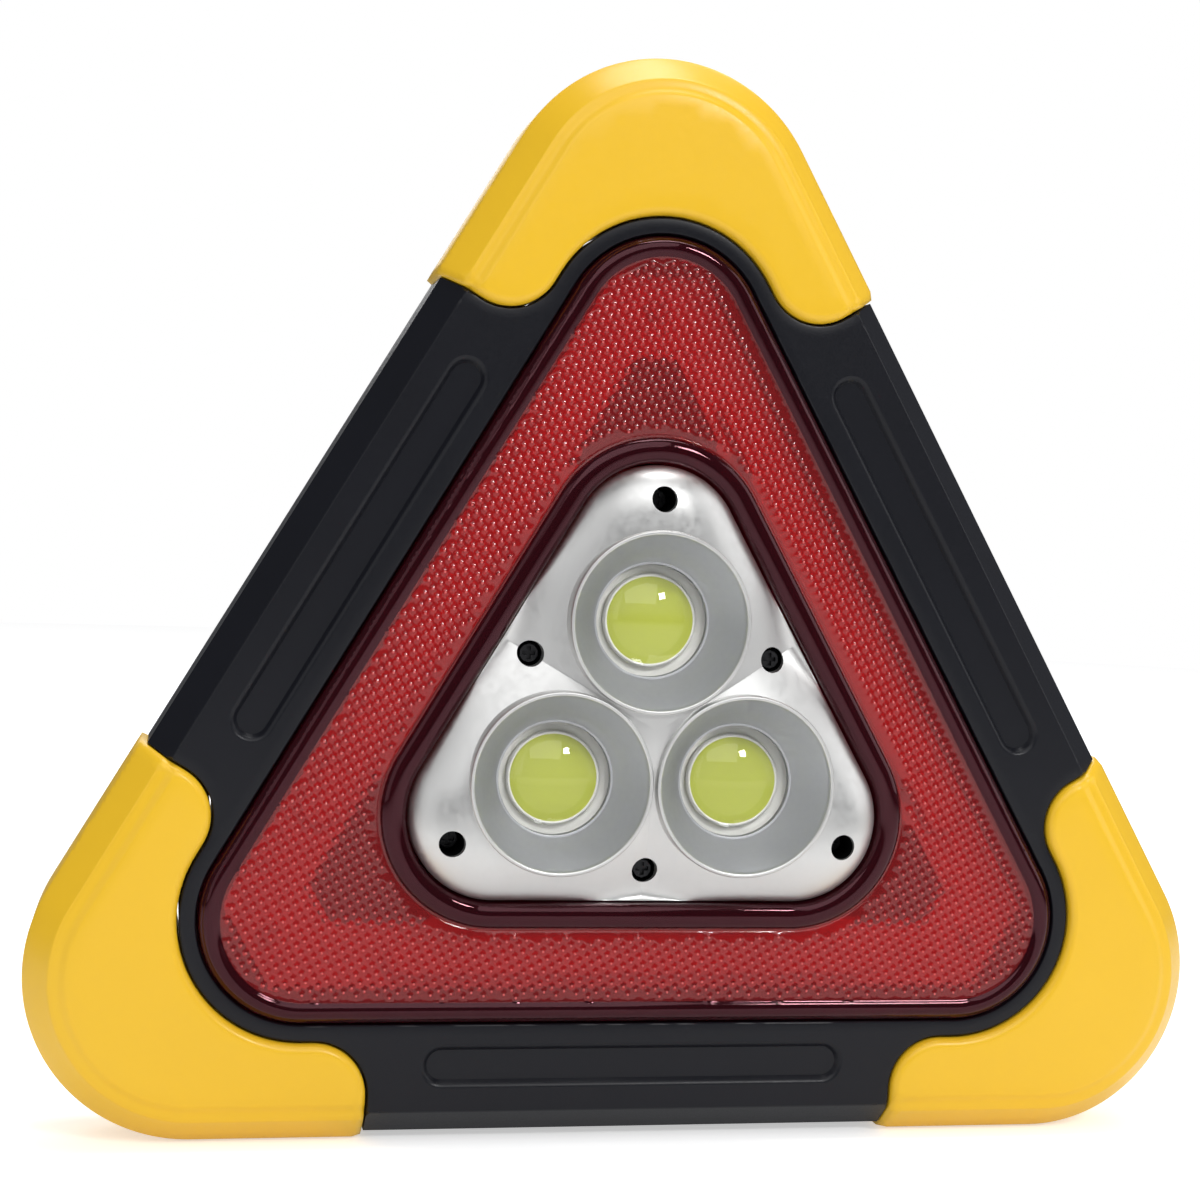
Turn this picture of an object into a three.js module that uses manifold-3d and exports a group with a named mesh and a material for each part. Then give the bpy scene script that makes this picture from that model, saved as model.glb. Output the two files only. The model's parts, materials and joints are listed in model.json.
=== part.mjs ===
// A battery-powered LED warning triangle and work light: a black triangular case with three yellow
// corner bumpers, a red ring lens over the warning LEDs, a silver reflector with three lamps in the
// middle, and on the back a battery pod, a push button and a swing-out stand that is also the handle.
// Units are millimetres. Everything is drawn in the face frame: X right, Y up, Z towards the viewer,
// with its origin in the middle of the triangle. The last lines stand the face frame up, +Z up, on
// the bumpers' undersides, with the front looking along -Y.
import * as THREE from "three";
import { mergeVertices } from "three/addons/utils/BufferGeometryUtils.js";
import Module from "manifold-3d";

const wasm = await Module();
wasm.setup();

// Driving dimensions. A rounded triangle is given by its inradius, from the middle to a side, and by
// its core, the inradius of the sharp triangle through its three corner centres, so two outlines
// with one core lie side by side all the way round.
const GAP = 0.3; // between pieces that touch
const BODY_CORE = 41.95;
const BUMPER_INRADIUS = 69.3;
const BODY_INRADIUS = BUMPER_INRADIUS - 1;
const WALL = 3.2;
const LENS_CORE = 32.1;
const LENS_INRADIUS = 49.2;
const REFLECTOR_CORE = 14.65;
const REFLECTOR_INRADIUS = 28.9;
const LAMP_DISTANCE = 17.75; // from the middle of the triangle to each lamp
const LAMP_RIM_RADIUS = 15.1;
const LAMP_LENS_RADIUS = 9.3;
const CORNER_HOLE_DISTANCE = 37.9;
const SIDE_HOLE_DISTANCE = 23.7;

// Depths along Z. The front is positive.
const RIM_FRONT = 20;
const BUMPER_FRONT = 14.3;
const BEZEL_FRONT = 13.2;
const SPLIT = 2;
const CASE_BACK = -8;
const BUMPER_BACK = -9.2;
const POD_BACK = -20;
const INNER_BACK = -4.6; // the inside of the back wall
const INNER_FRONT = 10.4; // the inside of the bezel's front wall
const FACE_BEVEL = { across: 4.4, deep: 5.2 };
const BACK_BEVEL = { across: 3, deep: 3 };

// Battery pod and stand
const POD_HALF_WIDTH = 33;
const POD_BOTTOM = -28.2;
const POD_TOP = 27.8;
const BAY_HALF_WIDTH = 30;
const BAY_BOTTOM = -26.2;
const BAY_TOP = 23.8;
const BAY_FLOOR = -2.8;
const BAY_WALL = 1.8;
const CELL_RADIUS = 7.2;
const CELL_LENGTH = 49;
const CELL_PITCH = 15.1;
const CELL_AXIS_DEPTH = -10.3;
const COVER_THICKNESS = 1.8;
const PIVOT_HEIGHT = 41.8;
const PIVOT_DEPTH = -14.5;
const PIVOT_EYE_RADIUS = 5.5;
const PIVOT_BORE_RADIUS = 2.6;
const STAND_LENGTH = 96; // from the pivot to the middle of the crossbar
const STAND_BAR = 8;
const STAND_THICKNESS = 7.6;
const STAND_INNER_HALF_WIDTH = 34.2;
const STAND_LEG_WIDTH = 7;
const STAND_CORNER_RADIUS = 7;
const STAND_INNER_CORNER_RADIUS = 4;
const BUTTON_HEIGHT = 54.5;
const BUTTON_RADIUS = 6.5;

// Screws, the posts that they go into, and the holes for them
const CASE_SCREW = { headRadius: 2.8, headHeight: 1.6, shankRadius: 1.2, length: 15 };
const REFLECTOR_SCREW = { headRadius: 1.8, headHeight: 1.2, shankRadius: 0.85, length: 9 };
const BOARD_SCREW = { headRadius: 1.9, headHeight: 1.1, shankRadius: 0.85, length: 6 };
const CASE_POST_RADIUS = 4;
const CASE_PILOT_RADIUS = 1.7;
const CASE_HOLE_RADIUS = 1.8;
const CASE_HEAD_HOLE = { radius: 3.3, deep: 2 };
const POST_RADIUS = 2.8;
const HOLE_RADIUS = 1.2;
const CASE_POST_SIDES = 10;
const POST_SIDES = 8;
const HOLE_SIDES = 6;

// Circuit boards, by the depth of their backs
const BOARD_THICKNESS = 1.6;
const LAMP_BOARD_THICKNESS = 1.3;
const CONTROL_BOARD_BACK = 1.4;
const LAMP_BOARD_BACK = 7.4;
const RING_BOARD_BACK = 5.6;
const CHIP = { radius: 7, thickness: 0.7 };

const CORNER_DIRECTIONS = [90, 210, 330];
const SIDE_DIRECTIONS = [270, 30, 150];
const CORNER_NAMES = ["top", "left", "right"];
const SIDE_NAMES = ["bottom", "right", "left"];
const ARC_STEPS = 4;
const FAR = 200; // well outside the object, for cutting shapes

const radians = THREE.MathUtils.degToRad;

function material(color, roughness, metalness = 0, opacity = 1) {
  return new THREE.MeshStandardMaterial({ color, roughness, metalness, opacity, transparent: opacity < 1 });
}

const blackPlastic = material(0x1b1c20, 0.45);
const yellowPlastic = material(0xf5c21e, 0.42);
const redPlastic = material(0xa3121a, 0.12, 0, 0.6);
const silvered = material(0xc9cbd0, 0.25, 0.9);
const clearPlastic = material(0xe9eef0, 0.05, 0, 0.4);
const phosphor = material(0xb9c43a, 0.5);
const whiteBoard = material(0xe8e6e2, 0.5);
const whiteNylon = material(0xe4e2dc, 0.5);
const greenBoard = material(0x1f6b3a, 0.5);
const redSilicone = material(0xb8402c, 0.4);
const foam = material(0x26262a, 0.9);
const blackRubber = material(0x141416, 0.7);
const brightSteel = material(0xb4b6b9, 0.3, 1);
const blackSteel = material(0x101012, 0.4, 0.8);
const cellJacket = material(0x2c4a66, 0.35);
const redWire = material(0xb01c1c, 0.5);
const blackWire = material(0x17171a, 0.5);

// Turns a closed three.js geometry into a manifold-3d solid, for joining and cutting.
function solid(geometry) {
  const bare = geometry.clone();
  bare.deleteAttribute("normal");
  bare.deleteAttribute("uv");
  const merged = mergeVertices(bare, 1e-4);
  const mesh = new wasm.Mesh({
    numProp: 3,
    vertProperties: merged.attributes.position.array,
    triVerts: new Uint32Array(merged.index.array),
  });
  return new wasm.Manifold(mesh);
}

function geometryOf(made) {
  const mesh = made.getMesh();
  const geometry = new THREE.BufferGeometry();
  geometry.setAttribute("position", new THREE.BufferAttribute(mesh.vertProperties, 3));
  geometry.setIndex(new THREE.BufferAttribute(mesh.triVerts, 1));
  geometry.computeVertexNormals();
  return geometry;
}

// A point at a distance from the middle, in a direction in degrees.
function polar(distance, degrees) {
  return new THREE.Vector2(Math.cos(radians(degrees)), Math.sin(radians(degrees))).multiplyScalar(distance);
}

// Outlines

function triangle(core, inradius) {
  const shape = new THREE.Shape();
  for (const degrees of CORNER_DIRECTIONS) {
    const centre = polar(2 * core, degrees);
    shape.absarc(centre.x, centre.y, inradius - core, radians(degrees - 60), radians(degrees + 60), false);
  }
  shape.closePath();
  return shape;
}

function sharpTriangle(inradius) {
  return new THREE.Shape(CORNER_DIRECTIONS.map((degrees) => polar(2 * inradius, degrees)));
}

function roundedRectangle(left, right, bottom, top, radius) {
  const shape = new THREE.Shape();
  shape.absarc(right - radius, top - radius, radius, 0, Math.PI / 2, false);
  shape.absarc(left + radius, top - radius, radius, Math.PI / 2, Math.PI, false);
  shape.absarc(left + radius, bottom + radius, radius, Math.PI, 1.5 * Math.PI, false);
  shape.absarc(right - radius, bottom + radius, radius, 1.5 * Math.PI, 2 * Math.PI, false);
  shape.closePath();
  return shape;
}

// A slot with round ends across the bottom bar, or any other bar once it is turned.
function slot(halfLength, halfWidth, distance) {
  const { x, y } = new THREE.Vector2(halfLength - halfWidth, -distance);
  const shape = new THREE.Shape();
  shape.absarc(x, y, halfWidth, -Math.PI / 2, Math.PI / 2, false);
  shape.absarc(-x, y, halfWidth, Math.PI / 2, 1.5 * Math.PI, false);
  shape.closePath();
  return shape;
}

// Solids

function prism(shape, back, front) {
  const options = { depth: front - back, bevelEnabled: false, curveSegments: ARC_STEPS };
  return solid(new THREE.ExtrudeGeometry(shape, options).translate(0, 0, back));
}

// A prism whose two ends both run on past back and front in a bevel.
function bevelled(shape, back, front, { across, deep }) {
  const options = {
    depth: front - back,
    bevelThickness: deep,
    bevelSize: across,
    bevelOffset: -across,
    bevelSegments: 1,
    curveSegments: ARC_STEPS,
  };
  return solid(new THREE.ExtrudeGeometry(shape, options).translate(0, 0, back));
}

// A plate with a bevel at its front, at its back, or at both.
function plate(shape, back, front, { frontBevel, backBevel }) {
  let made = prism(shape, back, front);
  if (frontBevel) {
    made = made.intersect(bevelled(shape, back, front - frontBevel.deep, frontBevel));
  }
  if (backBevel) {
    made = made.intersect(bevelled(shape, back + backBevel.deep, front, backBevel));
  }
  return made;
}

function box(left, right, bottom, top, back, front) {
  const geometry = new THREE.BoxGeometry(right - left, top - bottom, front - back);
  geometry.translate((left + right) / 2, (bottom + top) / 2, (back + front) / 2);
  return solid(geometry);
}

// A round rod along Z, or a cone where its front has another radius.
function rod(at, back, front, radius, sides = 16, frontRadius = radius) {
  const geometry = new THREE.CylinderGeometry(frontRadius, radius, front - back, sides);
  geometry.rotateX(Math.PI / 2).translate(at.x, at.y, (back + front) / 2);
  return solid(geometry);
}

// A round rod along X at a height and a depth.
function crossRod(left, right, height, depth, radius, sides = 16) {
  const geometry = new THREE.CylinderGeometry(radius, radius, right - left, sides);
  geometry.rotateZ(Math.PI / 2).translate((left + right) / 2, height, depth);
  return solid(geometry);
}

function joined(solids) {
  return solids.reduce((whole, next) => whole.add(next));
}

// Holes for small screws, through everything in front of the back wall.
function screwHoles(places) {
  return joined(places.map((at) => rod(at, 0, FAR, HOLE_RADIUS, HOLE_SIDES)));
}

// The same solid at each of the three corners or sides.
function threefold(one) {
  return joined([0, 120, 240].map((degrees) => one.rotate([0, 0, degrees])));
}

const ORIGIN = new THREE.Vector2(0, 0);
const LAMPS = CORNER_DIRECTIONS.map((degrees) => polar(LAMP_DISTANCE, degrees));
const REFLECTOR_SCREWS = [
  ...CORNER_DIRECTIONS.map((degrees) => polar(CORNER_HOLE_DISTANCE, degrees)),
  ...SIDE_DIRECTIONS.map((degrees) => polar(SIDE_HOLE_DISTANCE, degrees)),
];
const RING_SCREW_DISTANCE = 70;
const RING_SCREWS = CORNER_DIRECTIONS.map((degrees) => polar(RING_SCREW_DISTANCE, degrees));

// Two case screws stand near the ends of each side.
const CASE_SCREW_DISTANCE = 59.5;
const CASE_SCREW_SPREAD = 36;
const CASE_SCREWS = [0, 120, 240].flatMap((degrees) =>
  [-CASE_SCREW_SPREAD, CASE_SCREW_SPREAD].map((along) =>
    new THREE.Vector2(along, -CASE_SCREW_DISTANCE).rotateAround(ORIGIN, radians(degrees)),
  ),
);

// Bumpers. Each covers a corner, from one arm's end round to the other's: its inner edge follows the
// lens round the corner, and each arm ends square to its side with one round corner.
const ARM_END = 44.9; // from the middle of a side
const ARM_INRADIUS = 52.5;
const ARM_CORNER_RADIUS = 8.7;

// The outline of the top bumper's inner edge, grown by a clearance and closed far outside.
function bumperOutline(clearance) {
  const end = ARM_END - clearance;
  const inner = ARM_INRADIUS - clearance;
  const turn = ARM_CORNER_RADIUS + clearance;
  const outward = polar(1, 30);
  const along = polar(1, 120);
  const place = (distance, travel) =>
    outward.clone().multiplyScalar(distance).add(along.clone().multiplyScalar(travel));
  const centre = place(inner + turn, end + turn);
  const outside = place(FAR, end);
  const shape = new THREE.Shape();
  shape.moveTo(0, 2 * FAR);
  shape.lineTo(outside.x, outside.y);
  shape.absarc(centre.x, centre.y, turn, radians(-60), radians(-150), true);
  shape.absarc(0, 2 * LENS_CORE, inner - LENS_CORE, radians(30), radians(150), false);
  shape.absarc(-centre.x, centre.y, turn, radians(-30), radians(-120), true);
  shape.lineTo(-outside.x, outside.y);
  shape.closePath();
  return shape;
}

const BUMPER_STEP = 6; // from the outer edge to the raised middle
const BUMPER_STEP_FRONT = 13.4;
const BUMPER_LOW_BEVEL = { across: FACE_BEVEL.across, deep: 5.4 };
const BUMPER_EDGE = { across: 0.6, deep: 0.6 };
const SKIN = 2.3; // the inside of a bumper, below its outer face

function bumper() {
  const low = plate(triangle(BODY_CORE, BUMPER_INRADIUS), BUMPER_BACK, BUMPER_STEP_FRONT, {
    frontBevel: BUMPER_LOW_BEVEL,
    backBevel: BACK_BEVEL,
  });
  const raised = plate(triangle(BODY_CORE, BUMPER_INRADIUS - BUMPER_STEP), SPLIT, BUMPER_FRONT, {
    frontBevel: BUMPER_EDGE,
  });
  const room = triangle(BODY_CORE, BUMPER_INRADIUS - SKIN + GAP);
  const hollow = plate(room, BUMPER_BACK + SKIN - GAP, BUMPER_FRONT - SKIN, {
    frontBevel: FACE_BEVEL,
    backBevel: BACK_BEVEL,
  });
  return low.add(raised).intersect(prism(bumperOutline(0), -FAR, FAR)).subtract(hollow);
}

// The case is thinner where the bumpers cover it.
function seated(full, core) {
  const covered = threefold(prism(bumperOutline(GAP), -FAR, FAR));
  return full.subtract(covered).add(core);
}

const CORE_INRADIUS = BUMPER_INRADIUS - SKIN;
const SLOT = { halfLength: 35.6, halfWidth: 3.1, distance: 56.4, deep: 1 };

function frontBezel() {
  const full = plate(triangle(BODY_CORE, BODY_INRADIUS), SPLIT, BEZEL_FRONT, { frontBevel: FACE_BEVEL });
  const core = plate(triangle(BODY_CORE, CORE_INRADIUS), SPLIT, BUMPER_FRONT - SKIN - GAP, {
    frontBevel: FACE_BEVEL,
  });
  const hollow = plate(triangle(BODY_CORE, BODY_INRADIUS - WALL), SPLIT - 1, INNER_FRONT, {
    frontBevel: FACE_BEVEL,
  });
  const opening = prism(triangle(LENS_CORE, LENS_INRADIUS + GAP), SPLIT, FAR);
  const groove = prism(slot(SLOT.halfLength, SLOT.halfWidth, SLOT.distance), BEZEL_FRONT - SLOT.deep, FAR);
  const bosses = CASE_SCREWS.map((at) =>
    rod(at, SPLIT, INNER_FRONT + 1, CASE_POST_RADIUS, CASE_POST_SIDES),
  );
  const pilots = CASE_SCREWS.map((at) => rod(at, SPLIT - 1, INNER_FRONT - 1, CASE_PILOT_RADIUS, HOLE_SIDES));
  return seated(full, core)
    .subtract(hollow)
    .subtract(opening)
    .subtract(threefold(groove))
    .add(joined(bosses))
    .subtract(joined(pilots));
}

// What stands on the back wall starts a little inside it, to be joined to it.
const ROOT = INNER_BACK - 1;

// The hinge lugs are the two ears that the stand turns on.
const LUG_INNER = 25;
const LUG_FOOT = { margin: 1, back: PIVOT_DEPTH + 4 };

function lug(side) {
  const [left, right] = side < 0 ? [-POD_HALF_WIDTH, -LUG_INNER] : [LUG_INNER, POD_HALF_WIDTH];
  const low = PIVOT_HEIGHT - PIVOT_EYE_RADIUS;
  const high = PIVOT_HEIGHT + PIVOT_EYE_RADIUS;
  const foot = box(left, right, low - LUG_FOOT.margin, high + LUG_FOOT.margin, LUG_FOOT.back, ROOT);
  const neck = box(left, right, low, high, PIVOT_DEPTH, ROOT);
  return foot.add(neck).add(crossRod(left, right, PIVOT_HEIGHT, PIVOT_DEPTH, PIVOT_EYE_RADIUS));
}

// The cover's two tabs and its latch, and the pod's pockets and notch that hold them
const COVER_TABS = [-15, 15];
const TAB = { halfWidth: 3, foot: -27.3, top: BAY_BOTTOM + 1.5, back: -18.9, front: -17.9 };
const POCKET = { foot: -27.7, top: BAY_BOTTOM + 1, back: -19.2, front: -16.9 };
const LATCH = { halfWidth: 4.5, foot: BAY_TOP - 1.6, top: BAY_TOP - GAP, back: -18.5, front: -14.5 };
const NIB = { foot: BAY_TOP - 0.6, top: BAY_TOP + 0.9, back: -17.9, front: -16.9 };
const NOTCH = { halfWidth: 5.5, foot: BAY_TOP - 1, top: BAY_TOP + 1.9, front: -16.2 };

// The cover rests on two ledges in the pod's mouth.
const LEDGE = { middle: 29.5, halfWidth: 0.7, foot: 2, top: 12, back: POD_BACK + 2.2, front: POD_BACK + 3.4 };

const POD_CORNER_RADIUS = 5;
const POD_EDGE = { across: 1.5, deep: 1.5 };
const BAY_WALLS = { back: -12, front: -1.3 };
const BUTTON_HOLE_RADIUS = BUTTON_RADIUS + 0.4;
const CONTROL_SCREWS = [-13, 13].map((x) => new THREE.Vector2(x, BUTTON_HEIGHT));
const PILOT_FLOOR = 0.5;
const CONTROL_PILOT_FLOOR = -3.5;

function rearHousing() {
  const full = plate(triangle(BODY_CORE, BODY_INRADIUS), CASE_BACK, SPLIT - GAP, { backBevel: BACK_BEVEL });
  const core = plate(triangle(BODY_CORE, CORE_INRADIUS), BUMPER_BACK + SKIN + GAP, SPLIT - GAP, {
    backBevel: BACK_BEVEL,
  });
  const podOutline = roundedRectangle(-POD_HALF_WIDTH, POD_HALF_WIDTH, POD_BOTTOM, POD_TOP, POD_CORNER_RADIUS);
  const pod = plate(podOutline, POD_BACK, ROOT, { backBevel: POD_EDGE });
  const inside = prism(triangle(BODY_CORE, BODY_INRADIUS - WALL), INNER_BACK, FAR);
  const bayWalls = box(
    -BAY_HALF_WIDTH - BAY_WALL,
    BAY_HALF_WIDTH + BAY_WALL,
    BAY_BOTTOM - BAY_WALL,
    BAY_TOP + BAY_WALL,
    BAY_WALLS.back,
    BAY_WALLS.front,
  );
  const bay = box(-BAY_HALF_WIDTH, BAY_HALF_WIDTH, BAY_BOTTOM, BAY_TOP, -FAR, BAY_FLOOR);
  const ledges = [-1, 1].map((side) => {
    const middle = side * LEDGE.middle;
    const [left, right] = [middle - LEDGE.halfWidth, middle + LEDGE.halfWidth];
    return box(left, right, LEDGE.foot, LEDGE.top, LEDGE.back, LEDGE.front);
  });
  const pockets = COVER_TABS.map((x) => {
    const half = TAB.halfWidth + GAP;
    return box(x - half, x + half, POCKET.foot, POCKET.top, POCKET.back, POCKET.front);
  });
  const latchNotch = box(-NOTCH.halfWidth, NOTCH.halfWidth, NOTCH.foot, NOTCH.top, -FAR, NOTCH.front);
  const posts = [
    ...REFLECTOR_SCREWS.map((at) => rod(at, ROOT, LAMP_BOARD_BACK - GAP, POST_RADIUS, POST_SIDES)),
    ...RING_SCREWS.map((at) => rod(at, ROOT, RING_BOARD_BACK - GAP, POST_RADIUS, POST_SIDES)),
    ...CONTROL_SCREWS.map((at) => rod(at, ROOT, CONTROL_BOARD_BACK - GAP, POST_RADIUS, POST_SIDES)),
    ...CASE_SCREWS.map((at) => rod(at, ROOT, SPLIT - GAP, CASE_POST_RADIUS, CASE_POST_SIDES)),
  ];
  const pilots = [
    ...REFLECTOR_SCREWS.map((at) => rod(at, PILOT_FLOOR, LAMP_BOARD_BACK, HOLE_RADIUS, HOLE_SIDES)),
    ...RING_SCREWS.map((at) => rod(at, PILOT_FLOOR, RING_BOARD_BACK, HOLE_RADIUS, HOLE_SIDES)),
    ...CONTROL_SCREWS.map((at) => rod(at, CONTROL_PILOT_FLOOR, CONTROL_BOARD_BACK, HOLE_RADIUS, HOLE_SIDES)),
    ...CASE_SCREWS.map((at) => rod(at, -FAR, SPLIT, CASE_HOLE_RADIUS, HOLE_SIDES)),
    ...CASE_SCREWS.map((at) => rod(at, -FAR, CASE_BACK + CASE_HEAD_HOLE.deep, CASE_HEAD_HOLE.radius, 12)),
  ];
  const pivots = crossRod(-FAR, FAR, PIVOT_HEIGHT, PIVOT_DEPTH, PIVOT_BORE_RADIUS, 12);
  const buttonHole = rod(new THREE.Vector2(0, BUTTON_HEIGHT), -FAR, 0, BUTTON_HOLE_RADIUS, 20);
  return seated(full, core)
    .subtract(inside)
    .add(pod)
    .add(lug(-1))
    .add(lug(1))
    .add(bayWalls)
    .add(joined(posts))
    .subtract(joined(pilots))
    .subtract(bay)
    .subtract(joined(pockets))
    .subtract(latchNotch)
    .add(joined(ledges))
    .subtract(pivots)
    .subtract(buttonHole);
}

// Lens. It is a shell with an outer skirt and flange, a raised bead round its opening, and a
// funnel that leads down to the reflector.
const LENS_FACE = 14.4;
const BEAD_FRONT = 15.4;
const BEAD_INRADIUS = 31.6;
const FUNNEL_FOOT = 13.1;
const LENS_WALL = 2.2;
const LENS_BACK = 8;
const LENS_FLANGE = { across: 2.8, thickness: 1.2 };
const LENS_EDGE = { across: 1.6, deep: 1.4 };

function redLens() {
  const face = plate(triangle(LENS_CORE, LENS_INRADIUS), LENS_BACK, LENS_FACE, {
    frontBevel: LENS_EDGE,
  });
  const flangeOutline = triangle(LENS_CORE, LENS_INRADIUS + LENS_FLANGE.across);
  const flange = prism(flangeOutline, LENS_BACK, LENS_BACK + LENS_FLANGE.thickness);
  const bead = plate(triangle(REFLECTOR_CORE, BEAD_INRADIUS + 2), LENS_BACK, BEAD_FRONT, {
    frontBevel: { across: 2, deep: BEAD_FRONT - LENS_FACE },
  });
  const funnelFoot = REFLECTOR_INRADIUS + GAP;
  const funnel = bevelled(triangle(REFLECTOR_CORE, BEAD_INRADIUS), BEAD_FRONT, BEAD_FRONT + 1, {
    across: BEAD_INRADIUS - funnelFoot,
    deep: BEAD_FRONT - FUNNEL_FOOT,
  });
  const well = prism(triangle(REFLECTOR_CORE, funnelFoot), 0, FAR);
  const hollowOuter = prism(triangle(LENS_CORE, LENS_INRADIUS - LENS_WALL), 0, LENS_FACE - LENS_WALL);
  const hollowInner = prism(triangle(REFLECTOR_CORE, BEAD_INRADIUS + 1.6), -1, FAR);
  return face
    .add(flange)
    .add(bead)
    .subtract(hollowOuter.subtract(hollowInner))
    .subtract(funnel)
    .subtract(well);
}

function lensGasket() {
  const outline = triangle(LENS_CORE, LENS_INRADIUS + LENS_FLANGE.across);
  const outer = prism(outline, LENS_BACK + LENS_FLANGE.thickness + GAP, INNER_FRONT - GAP);
  return outer.subtract(prism(triangle(LENS_CORE, LENS_INRADIUS + GAP), 0, FAR));
}

// Reflector. Its face falls away from the middle, each lamp sits in a cup with a raised rim, and a
// well over each screw hides the screw's head.
const REFLECTOR_FACE = 18.8;
const REFLECTOR_BACK = 9;
const REFLECTOR_EDGE = { across: 9, deep: 5.4 };
const REFLECTOR_WALL = { across: 1.6, deep: 1.8 };
const CUP_WALL = 0.6;
const CUP_FOOT = 12.2;
const CUP_FOOT_RADIUS = 9.7;
const CUP_FOOT_WALL = 1.2;
const CUP_SIDES = 24;
const WELL_RADIUS = 2.15;
const WELL_FLOOR = 10.6;
const WELL_TUBE = { radius: 3, front: REFLECTOR_FACE - 2.6 };

function reflector() {
  const outline = triangle(REFLECTOR_CORE, REFLECTOR_INRADIUS);
  const inner = triangle(REFLECTOR_CORE, REFLECTOR_INRADIUS - REFLECTOR_WALL.across);
  const shell = plate(outline, REFLECTOR_BACK, REFLECTOR_FACE, { frontBevel: REFLECTOR_EDGE });
  const hollow = plate(inner, 0, REFLECTOR_FACE - REFLECTOR_WALL.deep, { frontBevel: REFLECTOR_EDGE });
  const outerFoot = CUP_FOOT_RADIUS + CUP_FOOT_WALL;
  const cups = LAMPS.map((at) =>
    rod(at, CUP_FOOT, RIM_FRONT, outerFoot, CUP_SIDES, LAMP_RIM_RADIUS).add(
      rod(at, REFLECTOR_BACK, CUP_FOOT, outerFoot, CUP_SIDES),
    ),
  );
  const bowls = LAMPS.map((at) =>
    rod(at, CUP_FOOT, RIM_FRONT, CUP_FOOT_RADIUS, CUP_SIDES, LAMP_RIM_RADIUS - CUP_WALL).add(
      rod(at, 0, CUP_FOOT + 0.01, CUP_FOOT_RADIUS, CUP_SIDES),
    ),
  );
  const tubes = REFLECTOR_SCREWS.map((at) =>
    rod(at, REFLECTOR_BACK, WELL_TUBE.front, WELL_TUBE.radius, POST_SIDES),
  );
  const wells = REFLECTOR_SCREWS.map((at) => rod(at, WELL_FLOOR, FAR, WELL_RADIUS, POST_SIDES));
  return shell
    .subtract(hollow)
    .add(joined(cups))
    .add(joined(tubes))
    .subtract(joined(bowls))
    .subtract(joined(wells))
    .subtract(screwHoles(REFLECTOR_SCREWS));
}

// A clear plano-convex lens on its own axis, its flat face at the origin.
const DOME_RIM = 1.2;
const DOME_HEIGHT = 3.6;

function lampLens() {
  const dome = [1, 0.75, 0.5, 0.25, 0].map(
    (share) => new THREE.Vector2(LAMP_LENS_RADIUS * share, DOME_RIM + DOME_HEIGHT * (1 - share * share)),
  );
  const profile = [new THREE.Vector2(0, 0), new THREE.Vector2(LAMP_LENS_RADIUS, 0), ...dome];
  return solid(new THREE.LatheGeometry(profile, CUP_SIDES).rotateX(Math.PI / 2));
}

function ledChip() {
  return rod(ORIGIN, 0, CHIP.thickness, CHIP.radius, CUP_SIDES);
}

function lampBoard() {
  const outline = triangle(REFLECTOR_CORE, REFLECTOR_INRADIUS - REFLECTOR_WALL.across - 0.2);
  const blank = prism(outline, LAMP_BOARD_BACK, LAMP_BOARD_BACK + LAMP_BOARD_THICKNESS);
  return blank.subtract(screwHoles(REFLECTOR_SCREWS));
}

// The warning ring's board. Its corners and its opening's corners are cut off square to the corners'
// directions, at these distances from the middle.
const RING_INRADIUS = 44.5;
const RING_CORNER = 75.2;
const RING_OPENING = 33.8;
const RING_OPENING_CORNER = 61.5;

function warningBoard() {
  const beyond = (distance) => threefold(box(-FAR, FAR, distance, FAR, 0, FAR));
  const blank = prism(sharpTriangle(RING_INRADIUS), RING_BOARD_BACK, RING_BOARD_BACK + BOARD_THICKNESS);
  const opening = prism(sharpTriangle(RING_OPENING), 0, FAR).subtract(beyond(RING_OPENING_CORNER));
  return blank.subtract(beyond(RING_CORNER)).subtract(opening).subtract(screwHoles(RING_SCREWS));
}

// One strip of red chips under silicone, along the bottom bar of the ring.
const STRIP = { halfLength: 42, halfWidth: 3, thickness: 1.1 };

function warningStrip() {
  const outline = slot(STRIP.halfLength, STRIP.halfWidth, (RING_INRADIUS + RING_OPENING) / 2);
  const back = RING_BOARD_BACK + BOARD_THICKNESS + GAP;
  return prism(outline, back, back + STRIP.thickness);
}

const CONTROL_BOARD = { halfWidth: 17, foot: BUTTON_HEIGHT - 10.5, top: BUTTON_HEIGHT + 8.5 };

function controlBoard() {
  const { halfWidth, foot, top } = CONTROL_BOARD;
  const blank = box(-halfWidth, halfWidth, foot, top, CONTROL_BOARD_BACK, CONTROL_BOARD_BACK + BOARD_THICKNESS);
  return blank.subtract(screwHoles(CONTROL_SCREWS));
}

// A square switch body behind the control board, with a round key that the button pushes.
const SWITCH = { half: 3, back: -0.9, keyBack: -1.6, keyRadius: 1.7 };

function tactSwitch() {
  const at = new THREE.Vector2(0, BUTTON_HEIGHT);
  const { half, back, keyBack, keyRadius } = SWITCH;
  const body = box(-half, half, at.y - half, at.y + half, back, CONTROL_BOARD_BACK - GAP);
  return body.add(rod(at, keyBack, 0, keyRadius));
}

const BUTTON_FLANGE_RADIUS = 8;
const BUTTON_FLANGE_FRONT = INNER_BACK + 1.1;
const BUTTON_SHOULDER = CASE_BACK - 1.9;
const BUTTON_BACK = CASE_BACK - 2.6;

function powerButton() {
  const flange = rod(ORIGIN, INNER_BACK + GAP, BUTTON_FLANGE_FRONT, BUTTON_FLANGE_RADIUS, 24);
  const cap = rod(ORIGIN, BUTTON_SHOULDER, BUTTON_FLANGE_FRONT, BUTTON_RADIUS, 24);
  const crown = rod(ORIGIN, BUTTON_BACK, BUTTON_SHOULDER, BUTTON_RADIUS - 1.4, 24, BUTTON_RADIUS);
  return flange.add(cap).add(crown);
}

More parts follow.
